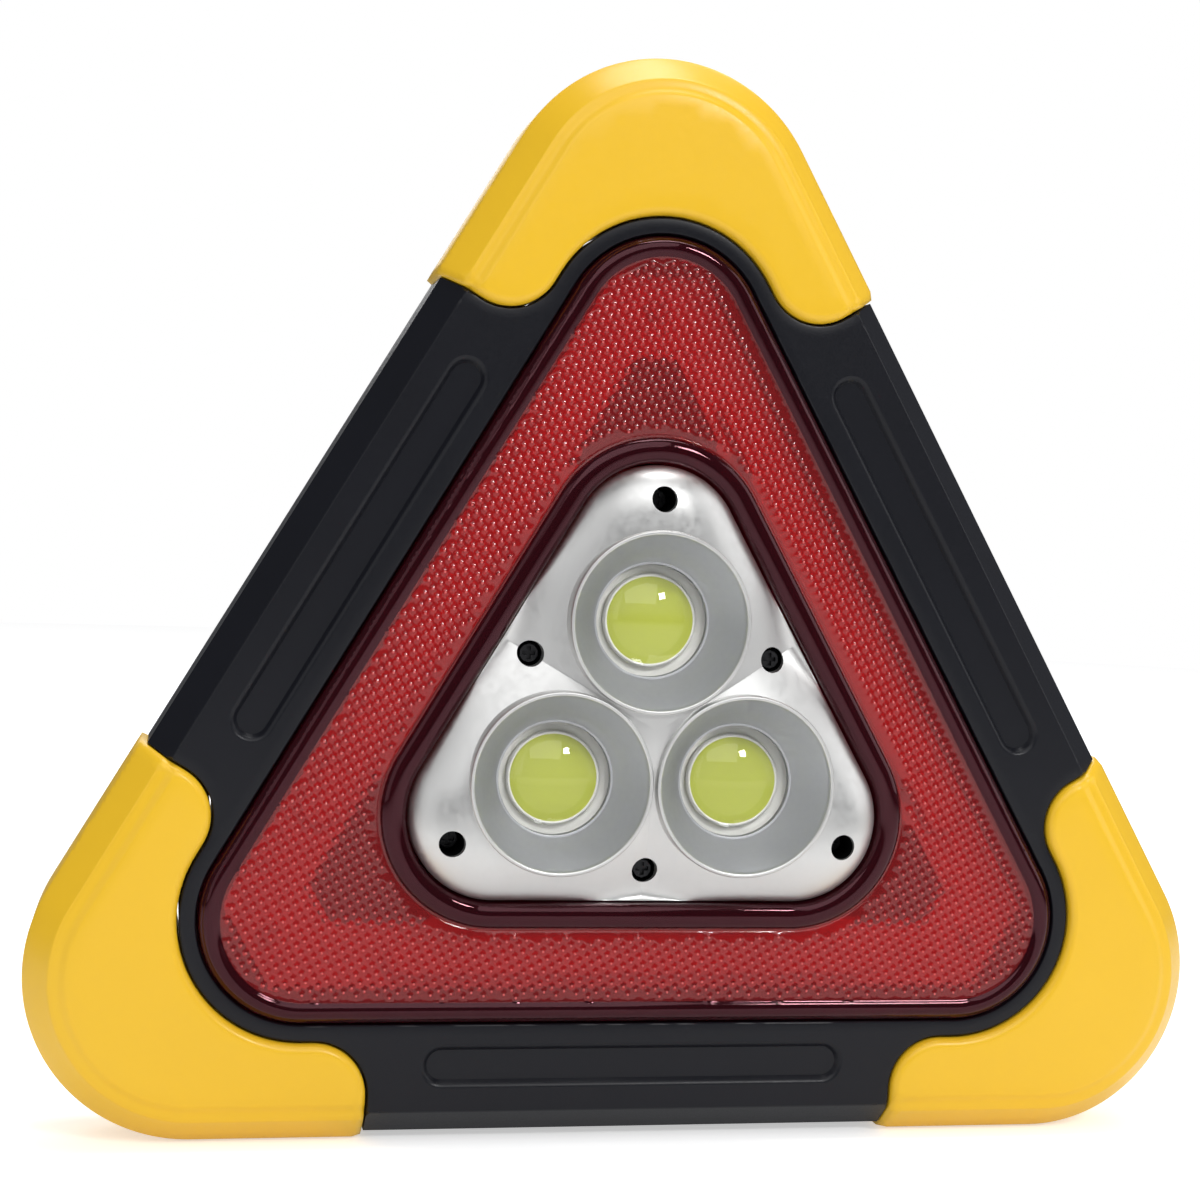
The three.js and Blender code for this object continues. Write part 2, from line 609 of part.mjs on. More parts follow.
// The battery cover fills the pod's opening. It turns on its outer lower edge, where two tabs hook
// into the pod's lower wall, and its latch nib sits in a notch in the upper wall.
function batteryCover() {
  const panel = box(
    -BAY_HALF_WIDTH + GAP,
    BAY_HALF_WIDTH - GAP,
    BAY_BOTTOM + GAP,
    BAY_TOP - GAP,
    POD_BACK,
    POD_BACK + COVER_THICKNESS,
  );
  const tabs = COVER_TABS.map((x) =>
    box(x - TAB.halfWidth, x + TAB.halfWidth, TAB.foot, TAB.top, TAB.back, TAB.front),
  );
  const latch = box(-LATCH.halfWidth, LATCH.halfWidth, LATCH.foot, LATCH.top, LATCH.back, LATCH.front);
  const nib = box(-LATCH.halfWidth, LATCH.halfWidth, NIB.foot, NIB.top, NIB.back, NIB.front);
  return panel.add(joined(tabs)).add(latch).add(nib);
}

// One AA cell along X, its button end at positive X.
const CELL_BUTTON = { radius: 2.7, rise: 1.3 };

function cell() {
  const half = CELL_LENGTH / 2;
  const can = crossRod(-half, half, 0, 0, CELL_RADIUS, 20);
  return can.add(crossRod(half - 1, half + CELL_BUTTON.rise, 0, 0, CELL_BUTTON.radius, 12));
}

// A conical contact spring along X, wide at its foot on the plate.
const SPRING = { length: 3.3, turns: 2.5, footRadius: 4, topRadius: 2.4, wireRadius: 0.4 };

class SpringLine extends THREE.Curve {
  getPoint(t, target = new THREE.Vector3()) {
    const turn = 2 * Math.PI * SPRING.turns * t;
    const radius = THREE.MathUtils.lerp(SPRING.footRadius, SPRING.topRadius, t);
    return target.set(SPRING.length * t, radius * Math.cos(turn), radius * Math.sin(turn));
  }
}

function tube(curve, radius, sides, steps) {
  const section = new THREE.Shape();
  section.absarc(0, 0, radius, 0, 2 * Math.PI, false);
  const options = { extrudePath: curve, steps, curveSegments: sides / 2, bevelEnabled: false };
  return solid(new THREE.ExtrudeGeometry(section, options));
}

function contactSpring() {
  return tube(new SpringLine(), SPRING.wireRadius, 4, 30);
}

const CONTACT = { thickness: 0.5, half: 5.5 };

function contactPlate() {
  const { thickness, half } = CONTACT;
  return box(0, thickness, -half, half, -half, half);
}

// A self-tapping screw along Z: its head's underside is at the origin, and its point looks to +Z.
const POINT_LENGTH = 1.5;
const POINT_RADIUS = 0.3;
const RECESS_HALF_WIDTH = 0.35;

function screw({ headRadius, headHeight, shankRadius, length }) {
  const head = rod(ORIGIN, -headHeight, 0, headRadius * 0.85, 10, headRadius);
  const shank = rod(ORIGIN, 0, length - POINT_LENGTH, shankRadius, HOLE_SIDES);
  const point = rod(ORIGIN, length - POINT_LENGTH, length, shankRadius, HOLE_SIDES, POINT_RADIUS);
  const reach = headRadius * 0.6;
  const recess = box(-RECESS_HALF_WIDTH, RECESS_HALF_WIDTH, -reach, reach, -FAR, -headHeight * 0.4);
  return head.add(shank).add(point).subtract(recess).subtract(recess.rotate([0, 0, 90]));
}

// Stand, in its own frame with the pivot at the origin: a U that hangs down, with a round eye at
// the top of each leg.
const STAND_EDGE = { across: 1.2, deep: 1.2 };
const STAND_BORE_RADIUS = 2.8;

function stand() {
  const outer = STAND_INNER_HALF_WIDTH + STAND_LEG_WIDTH;
  const bottom = -STAND_LENGTH - STAND_BAR / 2;
  const blank = roundedRectangle(-outer, outer, bottom, STAND_BAR, STAND_CORNER_RADIUS);
  const half = STAND_THICKNESS / 2;
  const loop = plate(blank, -half, half, { frontBevel: STAND_EDGE, backBevel: STAND_EDGE });
  const gap = roundedRectangle(
    -STAND_INNER_HALF_WIDTH,
    STAND_INNER_HALF_WIDTH,
    bottom + STAND_BAR,
    FAR,
    STAND_INNER_CORNER_RADIUS,
  );
  const top = box(-FAR, FAR, 0, FAR, -FAR, FAR);
  const rightEye = crossRod(STAND_INNER_HALF_WIDTH, outer, 0, 0, PIVOT_EYE_RADIUS);
  const leftEye = crossRod(-outer, -STAND_INNER_HALF_WIDTH, 0, 0, PIVOT_EYE_RADIUS);
  return loop
    .subtract(prism(gap, -FAR, FAR))
    .subtract(top)
    .add(rightEye)
    .add(leftEye)
    .subtract(crossRod(-FAR, FAR, 0, 0, STAND_BORE_RADIUS));
}

// A shoulder screw along X for the right pivot. Its head is outside the stand's leg.
const PIVOT_SCREW = { shankRadius: 2.3, headRadius: 4, headHeight: 2, slotHalfLength: 3 };

function pivotScrew() {
  const { shankRadius, headRadius, headHeight, slotHalfLength } = PIVOT_SCREW;
  const head = STAND_INNER_HALF_WIDTH + STAND_LEG_WIDTH + GAP;
  const driverSlot = box(head + headHeight / 2, FAR, -0.5, 0.5, -slotHalfLength, slotHalfLength);
  return crossRod(LUG_INNER + 1, head, 0, 0, shankRadius, 12)
    .add(crossRod(head, head + headHeight, 0, 0, headRadius, 20))
    .subtract(driverSlot);
}

const WASHER = { radius: 4.8, thickness: 0.6 };

function pivotWasher() {
  const inner = POD_HALF_WIDTH + GAP;
  const disc = crossRod(inner, inner + WASHER.thickness, 0, 0, WASHER.radius, 20);
  return disc.subtract(crossRod(0, FAR, 0, 0, PIVOT_BORE_RADIUS, 12));
}

// Wires run through hand-chosen points inside the case.
const WIRE_RADIUS = 0.7;

function wire(points) {
  const line = new THREE.CatmullRomCurve3(points.map((p) => new THREE.Vector3(...p)));
  return tube(line, WIRE_RADIUS, 6, 16);
}

const WIRES = {
  battery_lead_positive: {
    look: redWire,
    points: [[27, 18, -0.4], [25, 24, 1], [19, 32, 3], [14, 40, 4.2], [12, 47, 4.2], [11, 51, 4.2]],
  },
  battery_lead_negative: {
    look: blackWire,
    points: [[-27, 18, -0.4], [-25, 24, 1], [-19, 32, 3], [-14, 40, 4.2], [-12, 47, 4.2], [-11, 51, 4.2]],
  },
  lamp_lead: {
    look: redWire,
    points: [[5, 50, 4.2], [6, 45, 4.4], [8, 36, 5], [9, 28, 5.6], [9, 22, 6], [8, 18, 6.4]],
  },
  warning_lead: {
    look: blackWire,
    points: [[-5, 57, 4.2], [-7, 61, 4.2], [-12, 62, 4.3], [-16, 60, 4.4], [-19, 56, 4.5], [-21, 52, 4.6]],
  },
};

// Assembly

const part = new THREE.Group();
const face = new THREE.Group();
face.rotation.x = Math.PI / 2;
face.position.z = BUMPER_INRADIUS;
part.add(face);

function add(name, made, look, { at = ORIGIN, depth = 0, turn = 0 } = {}) {
  const mesh = new THREE.Mesh(geometryOf(made), look);
  mesh.name = name;
  mesh.position.set(at.x, at.y, depth);
  mesh.rotation.z = radians(turn);
  face.add(mesh);
  return mesh;
}

add("front_bezel", frontBezel(), blackPlastic);
add("rear_housing", rearHousing(), blackPlastic);
CORNER_NAMES.forEach((name, i) => add(`corner_bumper_${name}`, bumper(), yellowPlastic, { turn: 120 * i }));
add("red_lens", redLens(), redPlastic);
add("lens_gasket", lensGasket(), foam);
add("reflector", reflector(), silvered);
add("lamp_board", lampBoard(), whiteBoard);
LAMPS.forEach((at, i) => {
  const chipDepth = LAMP_BOARD_BACK + LAMP_BOARD_THICKNESS + GAP;
  const lensDepth = chipDepth + CHIP.thickness + 0.4;
  add(`lamp_lens_${CORNER_NAMES[i]}`, lampLens(), clearPlastic, { at, depth: lensDepth });
  add(`led_chip_${CORNER_NAMES[i]}`, ledChip(), phosphor, { at, depth: chipDepth });
});
add("warning_board", warningBoard(), whiteBoard);
SIDE_NAMES.forEach((name, i) => add(`warning_strip_${name}`, warningStrip(), redSilicone, { turn: 120 * i }));
add("control_board", controlBoard(), greenBoard);
add("tact_switch", tactSwitch(), blackPlastic);
add("power_button", powerButton(), blackRubber, { at: new THREE.Vector2(0, BUTTON_HEIGHT) });
add("battery_cover", batteryCover(), blackPlastic);

// The cells lie side by side, every second one turned end for end, with a spring at each flat end
// and a plate at each button end.
const CELL_MIDDLE = (BAY_BOTTOM + BAY_TOP) / 2 + 0.4;
const CELL_SHIFT = 2.1; // towards the plate, because the spring takes more room
const SPRING_PLACE = BAY_HALF_WIDTH - 3.1;
const CONTACT_PLACE = BAY_HALF_WIDTH - 0.9;
[-1, 0, 1].forEach((row, i) => {
  const facing = row === 0 ? 180 : 0;
  const side = row === 0 ? -1 : 1;
  const height = CELL_MIDDLE + CELL_PITCH * row;
  const place = (x) => ({ at: new THREE.Vector2(x, height), depth: CELL_AXIS_DEPTH, turn: facing });
  add(`battery_${i + 1}`, cell(), cellJacket, place(side * CELL_SHIFT));
  add(`contact_spring_${i + 1}`, contactSpring(), brightSteel, place(-side * SPRING_PLACE));
  add(`contact_plate_${i + 1}`, contactPlate(), brightSteel, place(side * CONTACT_PLACE));
});

// Stand, hung on its two pivot screws
const hinge = { at: new THREE.Vector2(0, PIVOT_HEIGHT), depth: PIVOT_DEPTH };
add("stand", stand(), blackPlastic, hinge);
[
  ["right", 0],
  ["left", 180],
].forEach(([name, turn]) => {
  add(`pivot_screw_${name}`, pivotScrew(), brightSteel, { ...hinge, turn });
  add(`pivot_washer_${name}`, pivotWasher(), brightSteel, { ...hinge, turn });
});

CASE_SCREWS.forEach((at, i) => {
  const depth = CASE_BACK + CASE_HEAD_HOLE.deep - GAP;
  add(`case_screw_${i + 1}`, screw(CASE_SCREW), blackSteel, { at, depth });
});

// Screws that are put in from the front are turned over.
function addFrontScrew(name, made, look, at, depth) {
  const mesh = add(name, made, look, { at, depth });
  mesh.rotation.x = Math.PI;
}

REFLECTOR_SCREWS.forEach((at, i) => {
  addFrontScrew(`reflector_screw_${i + 1}`, screw(REFLECTOR_SCREW), blackSteel, at, WELL_FLOOR + GAP);
});
RING_SCREWS.forEach((at, i) => {
  const name = `warning_board_screw_${CORNER_NAMES[i]}`;
  addFrontScrew(name, screw(BOARD_SCREW), whiteNylon, at, RING_BOARD_BACK + BOARD_THICKNESS + GAP);
});
CONTROL_SCREWS.forEach((at, i) => {
  const name = `control_board_screw_${["left", "right"][i]}`;
  addFrontScrew(name, screw(BOARD_SCREW), brightSteel, at, CONTROL_BOARD_BACK + BOARD_THICKNESS + GAP);
});
for (const [name, { look, points }] of Object.entries(WIRES)) {
  add(name, wire(points), look);
}

export default part;
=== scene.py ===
"""The looks of a battery-powered LED warning triangle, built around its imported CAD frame.

Shapes are drawn in the face frame, in millimetres: X right, Y up, Z towards the viewer, with its
origin in the middle of the triangle. in_row() turns that into the row frame, in metres.
"""

import json
import math

import bmesh
import bpy
import numpy as np
from mathutils import Matrix, Vector, geometry, kdtree

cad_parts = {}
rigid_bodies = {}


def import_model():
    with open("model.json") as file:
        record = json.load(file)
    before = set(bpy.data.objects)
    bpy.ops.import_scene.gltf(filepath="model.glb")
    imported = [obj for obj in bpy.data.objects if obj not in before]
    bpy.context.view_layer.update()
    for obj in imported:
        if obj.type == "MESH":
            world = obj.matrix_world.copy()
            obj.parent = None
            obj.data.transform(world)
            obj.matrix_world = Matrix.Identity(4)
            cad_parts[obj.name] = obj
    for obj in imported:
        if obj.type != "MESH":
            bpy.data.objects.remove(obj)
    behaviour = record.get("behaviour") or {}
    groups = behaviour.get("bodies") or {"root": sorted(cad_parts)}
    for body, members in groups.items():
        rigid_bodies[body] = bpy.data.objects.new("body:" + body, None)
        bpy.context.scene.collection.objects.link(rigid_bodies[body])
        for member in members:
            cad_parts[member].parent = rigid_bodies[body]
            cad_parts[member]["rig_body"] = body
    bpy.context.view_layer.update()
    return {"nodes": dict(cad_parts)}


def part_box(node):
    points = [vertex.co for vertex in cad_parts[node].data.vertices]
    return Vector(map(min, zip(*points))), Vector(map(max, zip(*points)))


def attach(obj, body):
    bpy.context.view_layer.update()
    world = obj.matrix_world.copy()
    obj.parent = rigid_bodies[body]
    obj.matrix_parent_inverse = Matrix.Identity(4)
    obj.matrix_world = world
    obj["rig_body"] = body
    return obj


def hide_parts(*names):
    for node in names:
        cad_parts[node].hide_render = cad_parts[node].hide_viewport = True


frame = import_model()

# Sizes that the CAD model shares. A rounded triangle is given by its inradius, from the middle to a
# side, and by its core, the inradius of the sharp triangle through its three corner centres.
GAP = 0.3
BODY_CORE = 41.95
BUMPER_INRADIUS = 69.3
BODY_INRADIUS = 68.3
LENS_CORE = 32.1
LENS_INRADIUS = 49.2
REFLECTOR_CORE = 14.65
REFLECTOR_INRADIUS = 28.9
LAMP_DISTANCE = 17.75
CORNER_HOLE_DISTANCE = 37.9
SIDE_HOLE_DISTANCE = 23.7
SPLIT = 2.0
CASE_BACK = -8.0
BUMPER_BACK = -9.2
CHAMFER_FOOT = 8.0
CHAMFER_RISE = 5.2
CASE_WALL = 2.0
ARM_END = 44.9
ARM_INRADIUS = 52.5
ARM_CORNER_RADIUS = 8.7
CASE_SCREW_DISTANCE = 59.5
CASE_SCREW_SPREAD = 36.0
POD_HALF_WIDTH = 33.0
POD_BOTTOM = -28.2
POD_TOP = 27.8
POD_BACK = -20.0
BAY_HALF_WIDTH = 30.0
BAY_BOTTOM = -26.2
BAY_TOP = 23.8
PIVOT_HEIGHT = 41.8
PIVOT_DEPTH = -14.5
BUTTON_HEIGHT = 54.5
POST_RADIUS = 2.8

CORNERS = (90, 210, 330)
SIDES = (270, 30, 150)
CORNER_NAMES = ("top", "left", "right")


# Flat outlines and distances


def polar(distance, degrees):
    angle = math.radians(degrees)
    return np.array((math.cos(angle), math.sin(angle))) * distance


def arc(centre, radius, start, end, steps):
    angles = np.radians(np.linspace(start, end, steps + 1))
    return np.asarray(centre) + radius * np.column_stack((np.cos(angles), np.sin(angles)))


def circle(centre, radius, steps=48):
    return arc(centre, radius, 0, 360, steps)[:-1]


def turned(points, degrees):
    angle = math.radians(degrees)
    turn = np.array(((math.cos(angle), math.sin(angle)), (-math.sin(angle), math.cos(angle))))
    return np.asarray(points) @ turn


def divided(loop, step):
    """The closed loop with its long edges cut into pieces of about step."""
    made = []
    for a, b in zip(loop, np.roll(loop, -1, 0)):
        count = max(1, round(np.linalg.norm(b - a) / step))
        made.extend(a + (b - a) * i / count for i in range(count))
    return np.array(made)


def rounded_triangle(core, inradius, step=1.5, steps=24):
    corners = [arc(polar(2 * core, d), inradius - core, d - 60, d + 60, steps) for d in CORNERS]
    return divided(np.vstack(corners), step)


def rounded_rectangle(left, right, bottom, top, radius, step=2.0, steps=8):
    corners = (
        (right - radius, top - radius, 0),
        (left + radius, top - radius, 90),
        (left + radius, bottom + radius, 180),
        (right - radius, bottom + radius, 270),
    )
    return divided(np.vstack([arc((x, y), radius, d, d + 90, steps) for x, y, d in corners]), step)


def pill(reach, height, radius, steps, step):
    """Two half circles round the ends of a line along X, from -reach to reach at that height."""
    right = arc((reach, height), radius, -90, 90, steps)
    left = arc((-reach, height), radius, 90, 270, steps)
    return divided(np.vstack((right, left)), step)


def gauge(points, core):
    """The inradius of the rounded triangle of that core through each point."""
    points = np.asarray(points)
    made = np.max([points @ polar(1, d) for d in SIDES], axis=0)
    for d in CORNERS:
        local = turned(points - polar(2 * core, d), -d)
        angle = np.abs(np.degrees(np.arctan2(local[:, 1], local[:, 0])))
        made = np.where(angle <= 60, core + np.hypot(local[:, 0], local[:, 1]), made)
    return made


def distance_to(points, lines):
    """The distance from each point to the nearest of some open polylines."""
    best = np.full(len(points), np.inf)
    for line in lines:
        start, step = line[:-1], line[1:] - line[:-1]
        square = np.maximum((step**2).sum(1), 1e-12)
        for first in range(0, len(points), 1500):
            part = points[first : first + 1500, None, :] - start[None]
            share = np.clip((part * step).sum(2) / square, 0, 1)
            away = np.linalg.norm(part - share[:, :, None] * step, axis=2).min(1)
            best[first : first + 1500] = np.minimum(best[first : first + 1500], away)
    return best


def closed(loop):
    return np.vstack((loop, loop[:1]))


def inside(points, loops):
    """Which points are inside an odd number of the loops."""
    found = np.zeros(len(points), bool)
    for loop in loops:
        a, b = loop, np.roll(loop, -1, 0)
        rise = b[:, 1] - a[:, 1]
        rise = np.where(np.abs(rise) < 1e-12, 1e-12, rise)
        for first in range(0, len(points), 1500):
            p = points[first : first + 1500, None, :]
            spans = (a[:, 1] > p[..., 1]) != (b[:, 1] > p[..., 1])
            cross = a[:, 0] + (p[..., 1] - a[:, 1]) / rise * (b[:, 0] - a[:, 0])
            found[first : first + 1500] ^= ((spans & (p[..., 0] < cross)).sum(1) % 2).astype(bool)
    return found


def step_between(value, low, high):
    """0 below low and 1 above high, with a smooth rise between."""
    share = np.clip((value - low) / (high - low), 0, 1)
    return share * share * (3 - 2 * share)


def rounded_drop(distance, radius):
    """How far a surface falls at a distance from an edge that is rounded over."""
    left = radius - np.clip(distance, 0, radius)
    return radius - np.sqrt(np.maximum(radius**2 - left**2, 0))


def soft_edge(points, loops, radius):
    """The drop of a surface whose edges along those loops are rounded over."""
    return rounded_drop(distance_to(points, [closed(loop) for loop in loops]), radius)


def round_insets(radius, steps=5):
    return [radius * (1 - math.cos(math.radians(90 * i / steps))) for i in range(1, steps + 1)]


# Meshes

MERGE_DISTANCE = 2e-7  # metres


def in_row(points):
    points = np.asarray(points, float)
    return np.column_stack((points[:, 0], -points[:, 2], points[:, 1] + BUMPER_INRADIUS)) / 1000


def inset(loop, distance, outlines):
    """Points at a distance inside a loop, left out where the loop is too narrow for them."""
    forward = np.roll(loop, -1, 0) - loop
    back = loop - np.roll(loop, 1, 0)
    normals = np.zeros_like(loop)
    for edge in (forward, back):
        edge = edge / np.maximum(np.linalg.norm(edge, axis=1), 1e-12)[:, None]
        normals += np.column_stack((-edge[:, 1], edge[:, 0]))
    normals /= np.maximum(np.linalg.norm(normals, axis=1), 1e-12)[:, None]
    made = np.vstack((loop + normals * distance, loop - normals * distance))
    made = made[inside(made, outlines)]
    return made[distance_to(made, [closed(o) for o in outlines]) > 0.96 * distance]


def region(loops, spacing, insets=(), extra=()):
    """Triangles that fill the loops, holes left open: (points, faces)."""
    outlines = [closed(loop) for loop in loops]
    rings = [inset(loop, d, loops) for loop in loops for d in insets]
    fixed = np.vstack([np.zeros((0, 2)), *rings, *extra])
    fixed = fixed[inside(fixed, loops)]
    fixed = fixed[distance_to(fixed, outlines) > 0.02]
    border = np.vstack(loops)
    low, high = border.min(0), border.max(0)
    across = np.arange(low[0], high[0], spacing)
    up = np.arange(low[1], high[1], spacing * math.sqrt(0.75))
    grid = np.array([(x + spacing / 2 * (row % 2), y) for row, y in enumerate(up) for x in across])
    grid = grid[inside(grid, loops)]
    grid = grid[distance_to(grid, outlines) > 0.6 * spacing]
    if len(fixed):
        tree = kdtree.KDTree(len(fixed))
        for i, p in enumerate(fixed):
            tree.insert((p[0], p[1], 0), i)
        tree.balance()
        clear = [p for p in grid if tree.find((p[0], p[1], 0))[2] > 0.55 * spacing]
        grid = np.array(clear).reshape(-1, 2)
    edges = []
    first = 0
    for loop in loops:
        edges += [(first + i, first + (i + 1) % len(loop)) for i in range(len(loop))]
        first += len(loop)
    points = np.vstack((border, fixed, grid))
    vectors = [Vector(p) for p in points]
    found, _, faces, *_ = geometry.delaunay_2d_cdt(vectors, edges, [], 0, 1e-5)
    flat = np.array([tuple(p) for p in found])
    faces = np.array([tuple(f) for f in faces])
    faces = faces[inside(flat[faces].mean(1), loops)]
    a, b, c = (flat[faces[:, i]] for i in range(3))
    area = (b[:, 0] - a[:, 0]) * (c[:, 1] - a[:, 1]) - (b[:, 1] - a[:, 1]) * (c[:, 0] - a[:, 0])
    faces[area < 0] = faces[area < 0][:, ::-1]
    faces = faces[np.abs(area) > 1e-9]
    return flat, faces


def border_edges(faces):
    """The directed edges that only one face has."""
    seen = set()
    for f in faces:
        for i in range(len(f)):
            seen.add((int(f[i]), int(f[(i + 1) % len(f)])))
    return [e for e in seen if (e[1], e[0]) not in seen]


def level(height):
    """A flat front or back for Shape.slab."""
    return lambda points: np.full(len(points), float(height))


def depths(node):
    """The back and the front of a node's box, in the face frame."""
    low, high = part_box(node)
    return -high.y * 1000, -low.y * 1000


class Shape:
    """Points and faces in the face frame, gathered before they become one piece."""

    def __init__(self):
        self.points = []
        self.faces = []
        self.looks = []

    def add(self, points, faces, look=0):
        first = len(self.points)
        self.points.extend(tuple(float(c) for c in p) for p in points)
        self.faces.extend(tuple(first + int(i) for i in f) for f in faces)
        self.looks.extend([look] * len(faces))

    def slab(self, loops, front, back, spacing=3.0, insets=(), extra=()):
        """A closed body between a front and a back surface, over the region in the loops."""
        flat, faces = region(loops, spacing, insets, extra)
        count = len(flat)
        points = np.vstack([np.column_stack((flat, side(flat))) for side in (front, back)])
        sides = [(b, a, a + count, b + count) for a, b in border_edges(faces)]
        self.add(points, [*faces, *[f[::-1] + count for f in faces], *sides])
        return self

    def lathe(self, profile, at=(0, 0, 0), axis="z", steps=48, ring=False, look=0):
        """A profile of (radius, along) turned round an axis. It starts and ends on the axis, or is
        a closed ring."""
        angles = np.radians(np.linspace(0, 360, steps, endpoint=False))
        points, rows = [], []
        for radius, along in profile:
            if radius == 0:
                rows.append([len(points)] * steps)
                points.append((0, 0, along))
            else:
                rows.append(list(range(len(points), len(points) + steps)))
                points.extend((radius * math.cos(a), radius * math.sin(a), along) for a in angles)
        faces = []
        for lower, upper in zip(rows, rows[1:] + rows[:1] if ring else rows[1:]):
            for i in range(steps):
                j = (i + 1) % steps
                faces.append(tuple(dict.fromkeys((lower[i], lower[j], upper[j], upper[i]))))
        points = np.array(points)
        if axis == "x":
            points = points[:, [2, 0, 1]]
        self.add(points + np.array(at), faces, look)
        return self

    def mirrored(self):
        """The same shape on the other side of X."""
        made = Shape()
        made.points = [(-x, y, z) for x, y, z in self.points]
        made.faces = [f[::-1] for f in self.faces]
        made.looks = list(self.looks)
        return made

    def turned(self, degrees):
        """Turns the shape about the middle of the triangle."""
        points = np.array(self.points)
        flat = turned(points[:, :2], degrees)
        self.points = [tuple(p) for p in np.column_stack((flat, points[:, 2]))]
        return self

    def join(self, other):
        first = len(self.points)
        self.points.extend(other.points)
        self.faces.extend(tuple(first + i for i in f) for f in other.faces)
        self.looks.extend(other.looks)
        return self

    def piece(self, name, looks, slot, body, sharp=35):
        """Makes the piece that replaces the node of its name, smooth but for edges sharper than
        that angle."""
        mesh = bpy.data.meshes.new(name)
        mesh.from_pydata([Vector(p) for p in in_row(self.points)], [], self.faces)
        for look in looks:
            mesh.materials.append(look)
        mesh.polygons.foreach_set("material_index", self.looks)
        merged = bmesh.new()
        merged.from_mesh(mesh)
        bmesh.ops.remove_doubles(merged, verts=merged.verts, dist=MERGE_DISTANCE)
        merged.to_mesh(mesh)
        merged.free()
        mesh.update()
        mesh.shade_smooth()
        mesh.set_sharp_from_angle(angle=math.radians(sharp))
        piece = bpy.data.objects.new(name, mesh)
        bpy.context.scene.collection.objects.link(piece)
        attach(piece, body)
        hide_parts(name)
        return piece


# Materials


def material(name):
    made = bpy.data.materials.new(name)
    made.use_nodes = True
    return made, made.node_tree.nodes, made.node_tree.links


def set_inputs(node, values):
    for name, value in values.items():
        node.inputs[name].default_value = value


def noise(nodes, links, scale, detail=3.0):
    """A noise over the object's own coordinates, in metres."""
    place = nodes.new("ShaderNodeTexCoord")
    made = nodes.new("ShaderNodeTexNoise")
    set_inputs(made, {"Scale": scale, "Detail": detail})
    links.new(place.outputs["Object"], made.inputs["Vector"])
    return made.outputs["Fac"]


def varied(nodes, links, source, low, high, start=0.3, end=0.7):
    """A number that runs from low to high while the source runs from start to end."""
    made = nodes.new("ShaderNodeMapRange")
    set_inputs(made, {"From Min": start, "From Max": end, "To Min": low, "To Max": high})
    links.new(source, made.inputs["Value"])
    return made.outputs["Result"]


def shaded(nodes, links, source, dark, light):
    """A colour that runs from dark to light with the source."""
    made = nodes.new("ShaderNodeMix")
    made.data_type = "RGBA"
    set_inputs(made, {"A": (*dark, 1), "B": (*light, 1)})
    links.new(source, made.inputs["Factor"])
    return made.outputs["Result"]


def bumped(nodes, links, source, height):
    """A normal from the source, its height in metres."""
    made = nodes.new("ShaderNodeBump")
    set_inputs(made, {"Distance": height, "Strength": 1})
    links.new(source, made.inputs["Height"])
    return made.outputs["Normal"]


def scaled(colour, factor):
    return tuple(min(1.0, c * factor) for c in colour)


def mixed(nodes, links, ray, first, second, output):
    """The second shader for rays of that kind, and the first for all others."""
    path = nodes.new("ShaderNodeLightPath")
    mix = nodes.new("ShaderNodeMixShader")
    links.new(path.outputs[ray], mix.inputs["Fac"])
    links.new(first.outputs[0], mix.inputs[1])
    links.new(second.outputs[0], mix.inputs[2])
    links.new(mix.outputs["Shader"], nodes[output].inputs["Surface"])


def moulded(
    name, colour, roughness, tone=0.06, grain=2500, height=4e-6, metallic=0.0, specular=0.5, coat=0.0
):
    """An opaque finish with soft blotches of tone, a fine moulded grain and an uneven gloss. The
    grain is counted per metre, and its height is in metres."""
    made, nodes, links = material(name)
    shader = nodes["Principled BSDF"]
    blotches = noise(nodes, links, 60)
    colours = shaded(nodes, links, blotches, scaled(colour, 1 - tone), scaled(colour, 1 + tone))
    links.new(colours, shader.inputs["Base Color"])
    fine = noise(nodes, links, grain, 2)
    gloss = varied(nodes, links, fine, roughness - 0.05, roughness + 0.05)
    links.new(gloss, shader.inputs["Roughness"])
    if height:
        links.new(bumped(nodes, links, fine, height), shader.inputs["Normal"])
    set_inputs(shader, {"Metallic": metallic, "Specular IOR Level": specular})
    set_inputs(shader, {"Coat Weight": coat, "Coat Roughness": 0.08})
    return made


def see_through(name, colour, lets_through, roughness=0.02, clear=1.0, tint=(1, 1, 1)):
    """Clear or tinted plastic. Light from the lamps passes straight through, tinted at each face."""
    made, nodes, links = material(name)
    shader = nodes["Principled BSDF"]
    cloud = noise(nodes, links, 90)
    tones = shaded(nodes, links, cloud, scaled(colour, 0.97), scaled(colour, 1.03))
    links.new(tones, shader.inputs["Base Color"])
    gloss = varied(nodes, links, cloud, roughness * 0.6, roughness * 1.4)
    links.new(gloss, shader.inputs["Roughness"])
    set_inputs(shader, {"Transmission Weight": clear, "IOR": 1.49, "Specular Tint": (*tint, 1)})
    open_way = nodes.new("ShaderNodeBsdfTransparent")
    open_way.inputs["Color"].default_value = (*lets_through, 1)
    mixed(nodes, links, "Is Shadow Ray", shader, open_way, "Material Output")
    return made


